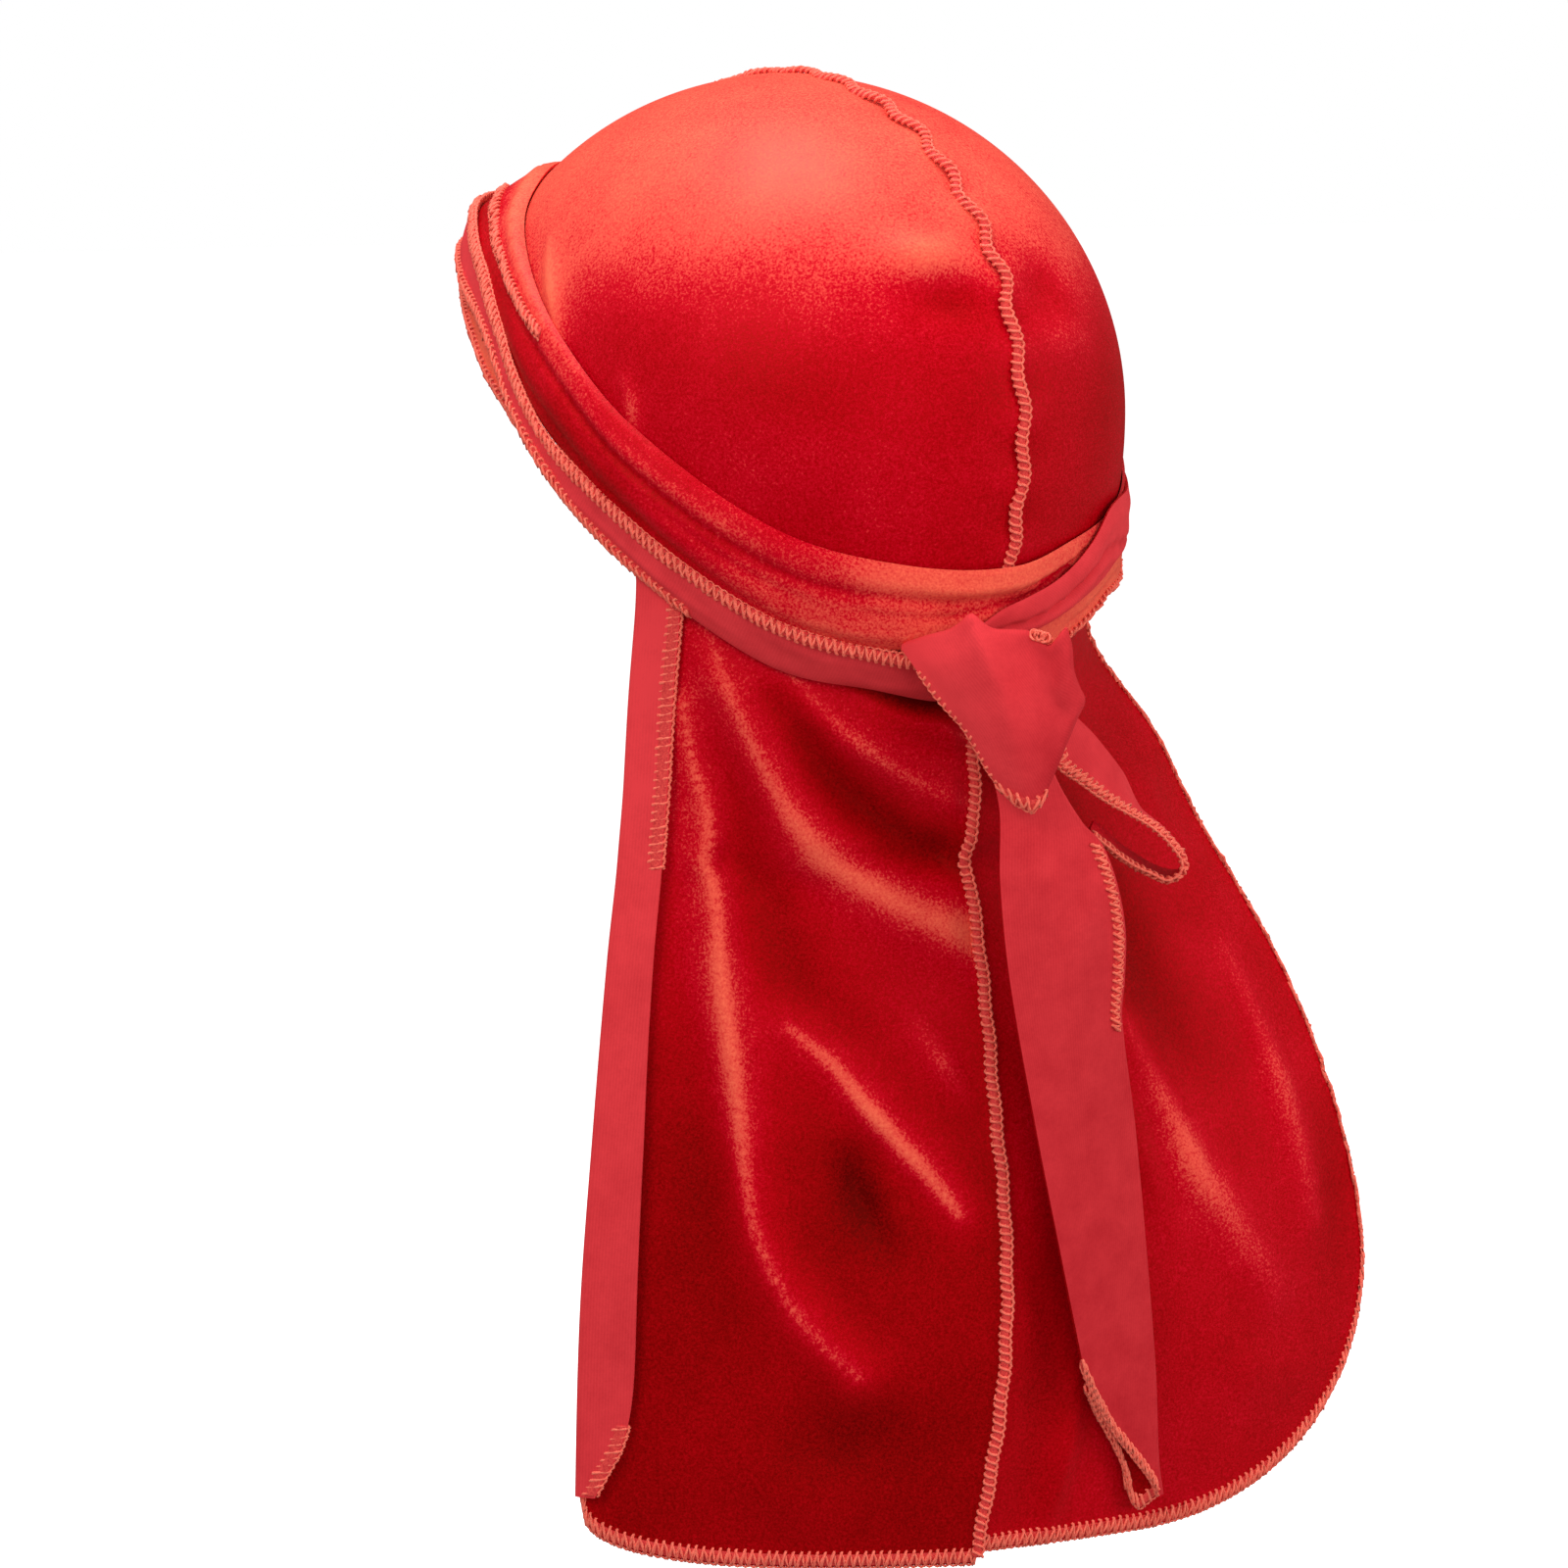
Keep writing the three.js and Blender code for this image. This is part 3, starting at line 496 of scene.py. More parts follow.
tail = {
    # painted light: the tail's base level, and the span where painted shade grows lower down
    "napAndPaintedLight": 0.45, "lowSpan": {"from": -225, "to": -300}, "rowBend": 0.25,
    "heldDrop": 9, "freeDrop": 50, "foldGrowth": 16, "foldRadius": 1.1, "seamGap": 0.03,
    "hemStitch": 3.9, "edgeStitch": 3.6, "edgeFromRow": 6,
    "seam": table("level x y", [(-150, 0, 85), (-178, 0, 85.5), (-194, 2.5, 85), (-200, 3.2, 82.5),
        (-206, 1.5, 83), (-220, 1, 86), (-257, 0.5, 92), (-307, 0, 98), (-346, 2, 97.5), (-386, 6, 92.5)]),
    "turnedFrom": -124, "turnedStitches": [(-128, -203), (-346, -382)],
    # painted light on the turned edge by level, lighter higher up
    "turnedPaintedLight": [(-386, -330, -240, -150), (0.54, 0.54, 0.6, 0.72)],
    "turnedWavers": [(0.1225, 17, 0), (0.07, 7.3, 1)], "turnedGap": 1.0, "turnedSlack": 0.8,
    "turnedReach": 0.008, "turnColumns": 6, "flatColumns": 9,
    "turned": table("level width", [(-110, 10.2), (-200, 10), (-240, 10.8), (-280, 12.2), (-325, 13.4),
        (-342, 12.8), (-353, 10.4), (-361, 6.3), (-372, 1.2)]),
}

leftHalf = {
    # a painted highlight over the top of the crown, and painted shade low on the tail
    "side": 1, "angle": 68, "bulge": 3, "topPaintedHighlight": 0.38, "lowPaintedShade": -0.19,
    "hem": {"level": -385.5, "rise": 19, "start": 0.1, "power": 3.2},
    "edge": table("level x y", [(-130, 76.3, 34.5), (-170, 75, 35), (-200, 77.5, 35), (-225, 80.8, 35),
        (-270, 85.2, 34.5), (-320, 89.3, 34), (-386, 91.5, 34)]),
    "folds": [
        crease([(79, -160), (75, -176), (69, -190), (67, -206), (68, -230), (67, -262), (66, -290),
               (63, -302), (57, -314), (50, -323), (38, -334)], (1.5, 4.2, 1.8), (3.2, 7),
               (0.4, 0.54, 0.5), (0.8, 2.3, 1.4)),
        crease([(76, -138), (70, -154), (63, -168), (55, -181), (43, -194), (30, -204), (18, -212),
               (2, -220)], (2.5, 5.5, 3.2), (4.5, 9), (0.22, 0.42, 0.42), (0.9, 1.8, 4.6)),
        crease([(60, -144), (50, -156), (39, -166), (27, -174), (14, -181), (2, -186)], (2.5, 4.6, 3),
               (4, 6), (0.18, 0.3, 0.12), (0.8, 1.3, 1.8)),
        crease([(48, -150), (36, -157), (23, -162.5), (9, -166), (1, -169)], (2, 4, 3), (3, 4.5),
               (0.1, 0.24, 0.3), (1, 1.2, 1.6)),
        crease([(52, -243), (41, -253), (33, -264), (25, -274), (18, -283), (12, -292)], (0.6, 3.4, 1.4),
               (6, 5), (0.4, 0.7, 0.55), (1.2, 2.0, 1.4)),
        crease([(19, -242), (13, -252), (7, -264)], (0.4, 1.6, 0.4), (5, 4), (0.1, 0.24, 0.08),
               (2.4, 2.4, 2)),
        crease([(58, -157), (40, -179), (20, -193), (2, -200)], (-1.5, -3.2, -3), (4, 5)),
        crease([(74, -160), (60, -192), (50, -225), (40, -258)], (-1, -1.8, -0.6), (4, 11)),
        crease([(45, -300), (38, -280), (28, -268)], (-0.5, -1.5, -0.5), (6, 6)),
        crease([(40, -277), (36, -290), (31, -303)], (-0.8, -1.8, -0.5), (4, 4)),
        # a deep valley just under the ties, with painted shade in it
        crease([(36, -153), (22, -157), (6, -158)], (-2, -5, -4), (3, 4), (-0.3, -0.6, -0.6), (3, 4, 4)),
        crease([(80, -215), (76, -270), (80, -330)], (0, -1.2, 0), (5, 8)),
        crease([(60, -345), (40, -350), (16, -352)], (0, -1.6, -0.5), (10, 10)),
        crease([(70, -352), (52, -366), (30, -374)], (0.2, 1.2, 0), (8, 8)),
    ],
}

rightHalf = {
    # a painted highlight over the top of the crown, and painted shade low on the tail
    "side": -1, "angle": 66, "bulge": 5, "topPaintedHighlight": 0.34, "lowPaintedShade": -0.01, "columnBend": 0.55,
    "hem": {"level": -382, "rise": 72, "start": 0.35, "power": 2.2},
    "edge": table("level x y", [(-150, -74.5, 43.5), (-170, -81.3, 53), (-200, -90, 66),
        (-225, -100.5, 77), (-250, -109.5, 86.5), (-300, -120.5, 98.5), (-386, -123, 103)]),
    "folds": [
        crease([(40, -240), (50, -264), (60, -288), (70, -300), (86, -322)], (0.8, 3.8, 1.2), (5, 7),
               (0.12, 0.34, 0.12), (2, 4.5, 4)),
        crease([(84, -232), (92, -258), (98, -282), (103, -304)], (0.8, 3, 0.8), (4, 7),
               (0.1, 0.22, 0.12), (2, 4, 3)),
        crease([(40, -262), (45, -286), (52, -302)], (0.4, 1.8, 0.6), (5, 5)),
        crease([(14, -300), (12, -330), (10, -372)], (-0.5, -1.3, -0.5), (8, 8)),
        crease([(22, -336), (21, -358), (19, -380)], (0.4, 2.2, 0.6), (2.5, 3)),
        crease([(24, -175), (40, -210), (60, -260)], (-1, -3, -1), (9, 10)),
        crease([(54, -168), (74, -196), (94, -240)], (1, 1.6, 0.5), (6, 9)),
        crease([(60, -330), (82, -345), (104, -346)], (0, 1.4, 0.4), (9, 9)),
        crease([(110, -268), (112, -300), (110, -330)], (0, -1.6, 0), (6, 8)),
    ],
}


# How far a level or place is through a span, eased at both ends
def spanShare(span, at):
    return smoothStep((at - span["from"]) / (span["to"] - span["from"]))


def crownEdge(angle):
    return readTable(crown["edge"], "angle", "level", np.abs(angle))


def crownLevel(angle, share):
    above = crownEdge(angle) - head["widestLevel"]
    over = np.arccos(np.clip(above / head["crownHeight"], -1, 1)) / (math.pi / 2)
    reach = np.where(above > 0, over, 1 - above / head["napeArc"])
    along = share * reach
    dome = head["widestLevel"] + head["crownHeight"] * np.cos(along * math.pi / 2)
    return np.where(along < 1, dome, head["widestLevel"] - (along - 1) * head["napeArc"])


def crownRise(angle, level):
    rise = np.zeros(np.shape(angle))
    across = angle * degree * head["halfWidth"]
    for dent in crown["dents"]:
        away = (angle - dent["angle"]) * degree * head["halfWidth"]
        rise += dent["rise"] * np.exp(-(away / dent["wide"]) ** 2
                                      - ((level - dent["level"]) / dent["high"]) ** 2)
    rise += foldRise(crown["puckers"], across, level)
    place, _ = headAt(angle, level)
    beside = np.abs(place[..., 0])
    pucker = np.cos(2 * math.pi * level / crown["seamWave"]) * np.exp(-(beside / crown["seamReach"]) ** 2)
    return rise + crown["seamPucker"] * pucker * spanShare(crown["puckerSpan"], place[..., 1])


# Painted light on the crown: a painted highlight over the top of the head, more on the left half, fading
# towards the ties, with painted shade in the dents and painted highlight on the bumps
def crownPaintedLight(half, angle, level, rise):
    lines = foldPaintedLight(crown["puckers"], angle * degree * head["halfWidth"], level)
    top = half["topPaintedHighlight"] * spanShare(crown["topSpan"], level)
    return crown["napAndPaintedLight"] + top + crown["risePaintedLight"] * rise + lines


# The tail's seam and outer edge at a level, and the width between them
def tailSides(half, level):
    line, edge = [np.stack([readTable(rows, "level", k, level) for k in ("x", "y")], -1)
                  for rows in (tail["seam"], half["edge"])]
    return line, edge, np.linalg.norm(edge - line, axis=-1)


# Painted light on the tail: a base level, painted shade lower down, and painted highlights and shade on the
# folds
def tailPaintedLight(half, across, down):
    level = tailAt(half, across, down)[0][..., 2]
    width = tailSides(half, level)[2]
    low = half["lowPaintedShade"] * spanShare(tail["lowSpan"], level)
    return tail["napAndPaintedLight"] + low + foldPaintedLight(half["folds"], np.broadcast_to(across, level.shape) * width, level)


def hemLevel(half, across):
    hem = half["hem"]
    corner = np.clip((across - hem["start"]) / (1 - hem["start"]), 0, 1)
    return hem["level"] + hem["rise"] * (1 - (1 - corner ** hem["power"]) ** (1 / hem["power"]))


# Points on the middle of the tail's cloth: share across from the seam, share down from the root
def tailAt(half, across, down):
    across, down = np.broadcast_arrays(np.asarray(across, float), np.asarray(down, float))
    angle = half["side"] * half["angle"] * across
    root = crownEdge(angle)
    level = root + (hemLevel(half, across) - root) * down
    line, edge, width = tailSides(half, level)
    along = (edge - line) / width[..., None]
    out = np.stack([-along[..., 1], along[..., 0]], -1) * half["side"]
    release = root - tail["heldDrop"]
    free = smoothStep((release - level) / tail["freeDrop"])
    bulge = half["bulge"] * 4 * across * (1 - across)
    grown = smoothStep((release - level) / tail["foldGrowth"])
    folds = foldRise(half["folds"], across * width, level) * grown * smoothStep(across * 12)
    heldPlace, heldOut = headAt(angle, np.maximum(level, release))
    held = (heldPlace - heldOut * cloth["panelWall"] / 2)[..., :2]
    place = line + (edge - line) * across[..., None] + out * bulge[..., None]
    place = place + (held - place) * (1 - free)[..., None] + out * folds[..., None]
    flat = np.zeros(level.shape)
    return (np.concatenate([place, level[..., None]], -1),
            np.concatenate([along, flat[..., None]], -1), np.concatenate([out, flat[..., None]], -1))


def panelGrids(half):
    step = cloth["panelStep"]
    tailColumns = round(panelSize["tailWidth"] / step)
    crownColumns = round(panelSize["crownWidth"] / step)
    shares = np.linspace(0, 1, tailColumns + 1)
    if "columnBend" in half:  # closer columns at the large corner
        bend = half["columnBend"]
        outer = bend + (1 - bend) * np.sin((shares - 0.5) * math.pi)
        shares = np.where(shares < 0.5, shares * 2 * bend, outer)
    rest = np.linspace(half["angle"], 180, crownColumns + 1)[1:]
    angles = half["side"] * np.concatenate([shares * half["angle"], rest])
    crownRows = round(panelSize["crownLength"] / step)
    down = np.linspace(0, 1, crownRows + 1)[:, None]
    level = crownLevel(angles, down)
    around = angles + 0 * level
    place, out = headAt(around, level)
    crownLift = crownRise(around, level)
    crownGrid = place + out * (crownLift - cloth["panelWall"] / 2)[..., None]
    atSeam = (np.abs(angles) < 0.01) | (np.abs(angles) > 179.9)
    crownGrid[:, atSeam, 0] += half["side"] * tail["seamGap"]
    crownGrid[0, :, 0] = half["side"] * tail["seamGap"]
    tailRows = round(panelSize["tailLength"] / step)
    drop = np.linspace(0, 1, tailRows + 1)
    drop = (drop * (1 - tail["rowBend"] + tail["rowBend"] * drop))[:, None]
    tailGrid = tailAt(half, shares, drop)[0]
    tailGrid[:, 0, 0] += half["side"] * tail["seamGap"]
    tailGrid[0] = crownGrid[-1, :tailColumns + 1]
    paintedLights = [crownPaintedLight(half, around, level, crownLift), tailPaintedLight(half, shares, drop)]
    paintedLights[1][0] = paintedLights[0][-1, :tailColumns + 1]
    grids = [crownGrid, tailGrid]
    if half["side"] > 0:
        shown = 1 + np.count_nonzero(tailGrid[1:, -1, 2] > tail["turnedFrom"])
        grids.append(turnedGrid(half, drop[shown:]))
        grids[2][:, 0] = tailGrid[shown:, -1]
        # painted light on the turned edge, lighter higher up
        paintedLights.append(np.interp(grids[2][..., 2], *tail["turnedPaintedLight"]))
    return grids, paintedLights


# The outer edge of the left half turns outward and back towards the seam
def turnedGrid(half, drop):
    place, along, out = tailAt(half, 1, drop[:, 0])
    width = readTable(tail["turned"], "level", "width", place[:, 2])
    turn = np.linspace(0, math.pi, tail["turnColumns"])
    radius = tail["foldRadius"]
    columns = [place + out * radius * (1 - math.cos(t)) + along * radius * math.sin(t) for t in turn]
    waver = sum(size * np.sin(place[:, 2] / span + start) for size, span, start in tail["turnedWavers"])
    inner = tailAt(half, 1 - tail["turnedReach"] * width, drop[:, 0])[0]
    lift = np.einsum("ij,ij->i", inner - place, out)
    for share in np.linspace(0, 1, tail["flatColumns"] + 1)[1:]:
        rise = 2 * radius + share * np.maximum(lift, lift * tail["turnedSlack"])
        rise = rise + (tail["turnedGap"] + waver) * share
        columns.append(place - along * (width * share)[:, None] + out * rise[:, None])
    return np.stack(columns, 1)


leftGrids, leftPaintedLights = panelGrids(leftHalf)
rightGrids, rightPaintedLights = panelGrids(rightHalf)
leftPanel = makeSheet("left_panel_velvet", leftGrids, cloth["panelWall"], pileSide, knit, False, leftPaintedLights)
rightPanel = makeSheet("right_panel_velvet", rightGrids, cloth["panelWall"], pileSide, knit, True, rightPaintedLights)
print("panels made")


# Centre seam: both cloth edges stand out together, wavy, and lean to the wearer's right
seam = {"width": 2.3, "wave": 17, "sway": 1.5, "rise": 1.2, "underTies": 0.4, "thread": 0.42,
        "height": 0.7, "under": 0.6, "tiesFrom": -118, "tiesTo": -150, "frontTies": -20, "fade": 8,
        "swayShares": [(0.15, None), (0.35, {"from": -140, "to": -120}), (0.5, {"from": -66, "to": -46})],
        "shortWave": 7.9, "shortSway": 0.4, "riseWave": 0.35, "rootAside": 1.9, "rootRise": 0.45}


def seamLine():
    share = np.linspace(1, 0, 200)
    front = crownLevel(180, share)
    back = crownLevel(0, share[::-1])
    over = [headAt(180 + 0 * front, front), headAt(0 * back, back)]
    place = np.concatenate([over[0][0], over[1][0][1:]])
    out = np.concatenate([over[0][1], over[1][1][1:]])
    down = np.linspace(0, 1, 300)[1:]
    left, right = tailAt(leftHalf, 0, down), tailAt(rightHalf, 0, down)
    place = np.concatenate([place, (left[0] + right[0]) / 2])
    out = np.concatenate([out, unit(left[2] + right[2])])
    return place, out


def buildSeam():
    place, out = seamLine()
    along = unit(np.gradient(place, axis=0))
    toRight = unit(np.cross(along, out))
    toRight *= -np.sign(toRight[:, :1] + 1e-9)
    length = lengthAlong(place)
    level = place[:, 2]
    hidden = smoothStep((seam["tiesFrom"] - level) / seam["fade"]) * smoothStep(
        (level - seam["tiesTo"]) / seam["fade"])
    hidden = np.where(place[:, 1] < 0, smoothStep((seam["frontTies"] - level) / seam["fade"]), hidden)
    strength = 1 - hidden
    calm = sum(share * (spanShare(span, level) if span else 1) for share, span in seam["swayShares"])
    sway = seam["sway"] * calm * (np.sin(length / seam["wave"] * 2 * math.pi)
                                  + seam["shortSway"] * np.sin(length / seam["shortWave"] + 1))
    rise = seam["underTies"] + (seam["rise"] - seam["underTies"]) * strength
    rise = rise + seam["riseWave"] * strength * calm * np.cos(length / seam["wave"] * 2 * math.pi)
    edge = place + toRight * (seam["width"] * 0.2 + sway * strength)[:, None] + out * rise[:, None]
    root = place - toRight * seam["rootAside"]
    root = root + out * np.maximum(0.35 * rise, seam["rootRise"])[:, None]
    inward = unit(root - edge)
    up = unit(np.cross(along, inward))
    up *= np.sign(np.einsum("ij,ij->i", up, out))[:, None]
    return edge, inward, up


seamStitches = stitchEdge(*buildSeam(), width=seam["width"], zigzag=False, height=seam["height"],
                          radius=seam["thread"], under=seam["under"])
centreSeam = makeStitches("centre_seam_overlock", seamStitches)
print("centre seam made")


# Serged edges of the panels: the hems, the tail's free edges and the turned edge on the left
def buildPanelStitches(name, grids, turned):
    tailGrid = grids[1]
    parts = stitchEdge(*gridEdge(tailGrid, "bottom", turned), width=tail["hemStitch"])
    if turned:
        parts += stitchEdge(*gridEdge(tailGrid[tail["edgeFromRow"]:], "last", True), width=tail["edgeStitch"])
    else:
        for first, last in tail["turnedStitches"]:
            levels = grids[2][:, -1, 2]
            keep = (levels < first) & (levels > last)
            parts += stitchEdge(*gridEdge(grids[2][keep], "last"), width=tail["edgeStitch"], under=0.4)
    return makeStitches(name, parts)


leftHem = buildPanelStitches("left_panel_overlock", leftGrids, False)
rightHem = buildPanelStitches("right_panel_overlock", rightGrids, True)
print("panel edges stitched")


# Ties wound round the head

# Station by station: upper and lower level, distance of the cloth's middle from the crown at both, and
# how far it bulges between them. A fold's points are an angle and a distance from the upper edge, a row
# of stitches is a side, its first and last angle and its width, and an inner edge's points are an angle
# and a share across.
# Each winding's painted light is given by angle at its upper and lower edge.
leftFirstPass = {
    "name": "left_tie_first_pass", "columns": 26, "outer": pileSide, "inner": knit,
    "stations": table("angle top bottom topLift bottomLift belly", [
        (-190, -28, -42, 0.8, 0.8, 0.3),
        (-176, -25, -42, 0.8, 0.8, 0.5),
        (-130, -29, -43, 1.0, 1.0, 0.6),
        (-90, -56, -70, 1.0, 1.0, 0.6),
        (-60, -95, -108, 0.8, 0.8, 0.4),
        (-34, -110.5, -123, 0.8, 0.8, 0.4),
        (-16, -117.5, -131, 1.0, 1.0, 1.2),
        (0, -123, -139, 1.8, 1.0, 1.4),
        (21, -122, -144, 1.0, 1.0, 2.6),
        (43, -113, -137, 1.0, 1.0, 3.0),
        (67, -88, -113, 1.0, 1.2, 3.0),
        (83, -66, -91.5, 1.0, 1.2, 2.4),
        (98, -48, -65.5, 0.7, 1.6, 2.2),
        (112, -36, -52, 0.6, 4.4, 2.2),
        (130, -25, -41, 0.5, 8.0, 1.4),
        (163, -23, -40, 0.6, 2.0, 0.4),
        (178, -24.5, -41.5, 1.2, 1.8, 0.2),
        (188, -32, -44, 1.8, 1.8, 0.2),
        (196, -37, -46, 1.6, 1.6, 0.1)]),
    "folds": [
        crease([(150, 1.6), (124, 1.8), (108, 2), (92, 1.8), (78, 1.6)], (0.9, 1.0, 0.2), (1.7, 1.4),
               (0.2, 0.24, 0.1), (1.6, 1.2, 0.8)),
        crease([(118, 9), (98, 8), (80, 9), (60, 10), (40, 9), (20, 8), (6, 7.5), (-14, 6)],
               (-0.7, -1.7, -1.0), (1.4, 2.0)),
        crease([(30, 4), (14, 4.4), (0, 4.6), (-16, 4.2)], (0.2, 0.8, 0.5), (1.6, 1.4), (0.1, 0.16, 0.12),
               (1.6, 1.4, 1.2)),
        crease([(112, 12.5), (95, 14), (75, 16), (55, 17), (36, 17.5), (18, 17), (4, 12)],
               (0.3, 0.9, 0.9), (2.4, 3.2)),
        crease([(92, 18), (76, 20.5), (60, 21), (44, 20.5)], (-0.3, -0.9, -0.2), (1.2, 1.6)),
        crease([(84, 6), (70, 6.5), (56, 6), (42, 5)], (0.1, 0.5, 0.2), (1.6, 1.8), (0.06, 0.17, 0.05),
               (2, 2.4, 2)),
        crease([(4, 9.8), (-6, 8.8), (-15, 5.6)], (-0.1, -1.3, -1.0), (0.8, 0.9)),
        crease([(-3, 5.6), (-11, 6), (-19, 4)], (-0.1, -1.0, -0.8), (0.7, 0.7)),
        crease([(30, 12.5), (14, 11.5), (0, 9), (-20, 8)], (-0.3, -0.9, -0.5), (1.0, 1.3)),
        crease([(64, 13), (50, 13.5), (38, 13)], (-0.1, -0.6, -0.1), (1.2, 1.4)),
        crease([(96, 10.5), (76, 12), (56, 12), (38, 11)], (0.1, 0.5, 0.3), (1.0, 1.1), (0.06, 0.14, 0.1),
               (0.7, 0.9, 0.8)),
        crease([(62, 18.6), (46, 19), (28, 18), (12, 15.5)], (0.1, 0.5, 0.2), (1.0, 1.1),
               (0.06, 0.12, 0.08), (0.7, 0.9, 0.8))],
    "stitches": [], "innerEdge": [(134, 0.66), (129, 0.62), (119, 0.58), (104, 0.48), (94, 0.36), (86, 0.22)],
    "paintedLights": table("angle top bottom", [(-176, 0.6, 0.5), (-40, 0.68, 0.66), (0, 0.78, 0.72),
        (20, 0.74, 0.72), (45, 0.52, 0.56), (70, 0.48, 0.38), (90, 0.62, 0.36), (112, 0.74, 0.4),
        (176, 0.72, 0.46)]),
}
leftSecondPass = {
    "name": "left_tie_second_pass", "columns": 16, "outer": knit, "inner": pileSide,
    "stations": table("angle top bottom topLift bottomLift belly", [
        (2, -147.5, -158, 3.0, 2.4, 0),
        (12, -145.5, -157.5, 3.2, 1.4, 0.6),
        (24, -143.2, -154.3, 3.0, 1.2, 0.9),
        (43, -135.5, -149, 3.0, 1.2, 0.8),
        (60, -120, -133.5, 3.0, 2.4, 0.7),
        (75, -101.5, -114.5, 3.0, 3.4, 0.5),
        (83, -91, -101, 3.2, 4.0, 0.2),
        (91, -76, -86, 3.4, 3.8, 0.2),
        (98, -63, -72.5, 3.8, 3.6, 0.3),
        (108, -51, -62, 5.6, 4.2, 0.3),
        (130, -38.5, -50, 9.8, 7.4, 0.4),
        (170, -36.5, -47.5, 5.8, 5.4, 0.3),
        (180, -38, -47, 3.6, 3.6, 0.1),
        (187, -39, -46.5, 2.3, 2.3, 0),
        (200, -40, -46, 2.2, 2.2, 0)]),
    "folds": [
        crease([(80, 8.5), (72, 8.2), (62, 8.6), (50, 9.6)], (0.2, 0.9, 0.2), (1.0, 1.2)),
        crease([(52, 5), (36, 5.4), (20, 5)], (0, 0.35, 0), (1.6, 1.6)),
        crease([(30, 9.4), (18, 9), (8, 8.4)], (0, 0.4, 0.1), (1.2, 1.4))],
    "stitches": [("top", 12, 178, 3.1), ("bottom", 58, 178, 3.2)],
    "paintedLights": table("angle top bottom", [(2, 0.5, 0.5), (60, 0.56, 0.56), (200, 0.5, 0.5)]),
}
rightFirstPass = {
    "name": "right_tie_first_pass", "columns": 16, "outer": pileSide, "inner": knit,
    "stations": table("angle top bottom topLift bottomLift belly", [
        (-276, -96, -101, 1.0, 1.0, 0.2),
        (-270, -86, -92, 1.0, 1.0, 0.4),
        (-262, -70, -82, 1.0, 1.0, 0.6),
        (-243, -52, -63, 2.4, 1.8, 0.6),
        (-220, -46, -56, 3.4, 2.4, 0.6),
        (-180, -44, -56, 1.0, 1.0, 0.6),
        (-130, -46, -58, 1.0, 1.0, 0.6),
        (-106, -61, -78, 1.0, 1.0, 0.8),
        (-90, -73, -94, 1.0, 1.0, 1.0),
        (-60, -104, -124, 1.0, 3.0, 1.4),
        (-43, -113, -132.5, 1.2, 3.6, 1.6),
        (-34, -117, -134.5, 1.2, 2.8, 1.8),
        (-29, -121, -138.5, 1.2, 2.6, 1.6),
        (-22, -127, -144, 1.2, 2.0, 1.4),
        (-16, -131, -147.5, 1.2, 1.6, 1.0),
        (-6, -136, -151, 1.4, 1.4, 0.5)]),
    "folds": [
        crease([(-110, 7), (-80, 9), (-52, 10), (-42, 9)], (-0.3, -0.9, -0.4), (1.6, 1.8)),
        crease([(-44, 12), (-31, 12.6), (-20, 11)], (-0.2, -0.8, -0.5), (0.8, 0.9))],
    "stitches": [("bottom", -270, -10, 3.4)],
    "paintedLights": table("angle top bottom", [(-276, 0.6, 0.8), (-240, 1.0, 1.0), (-90, 0.62, 0.66),
        (-34, 0.8, 0.92), (-6, 0.7, 0.8)]),
}
rightSecondPass = {
    "name": "right_tie_second_pass", "columns": 18, "outer": knit, "inner": pileSide,
    "stations": table("angle top bottom topLift bottomLift belly", [
        (-198, -41, -46, 3.4, 3.4, 0.1),
        (-188, -36, -48.5, 3.5, 3.5, 0.3),
        (-176, -31, -50, 3.5, 3.5, 0.4),
        (-130, -36, -53, 2.8, 2.8, 0.6),
        (-90, -66.5, -86, 1.3, 2.6, 0.7),
        (-60, -99.5, -115.5, 1.1, 3.8, 0.5),
        (-42, -107, -121.5, 1.8, 4.4, 0.4),
        (-33, -108.5, -124.5, 1.8, 4.2, 0.4),
        (-27, -111, -128, 2.0, 4.4, 0.6),
        (-21, -117.5, -131.5, 3.0, 4.4, 1.0),
        (-15, -123.5, -135.2, 3.4, 4.2, 1.0),
        (-10, -127.2, -137.8, 3.6, 4.2, 1.0),
        (-4, -130.2, -139.6, 3.8, 4.4, 0.9),
        (2, -133, -141.5, 4.2, 4.6, 0.6),
        (6, -136.6, -144, 4.4, 4.6, 0.6),
        (9, -139, -146, 4.4, 4.6, 0.4)]),
    "folds": [
        crease([(-70, 12), (-45, 13), (-32, 11.5), (-21, 8.2), (-12, 6.8), (-4, 6.2), (3, 4.6)],
               (-0.8, -2.8, -2.0), (1.1, 0.8)),
        crease([(-70, 16), (-45, 17), (-32, 15), (-21, 11), (-12, 9), (-4, 8), (3, 6.4)], (0.2, 0.8, 0.4),
               (2, 1.2)),
        crease([(-60, 5), (-36, 4.6), (-20, 3.4), (-8, 3)], (0.1, 0.5, 0.2), (2, 1.6)),
        crease([(-60, 18), (-40, 17), (-28, 14.6), (-20, 11.4)], (-0.2, -0.9, -0.3), (0.8, 0.7))],
    "stitches": [],
    "paintedLights": table("angle top bottom", [(-198, 0.4, 0.4), (-30, 0.62, 0.62), (9, 0.5, 0.5)]),
}


tieShape = {"reach": 93, "roundness": 2.6, "foldFade": 8, "deepest": 0.3, "paintedLightFall": 1.6,
            "wavers": [(0.14, 5.1, 4), (0.1, 2.3, 9)]}
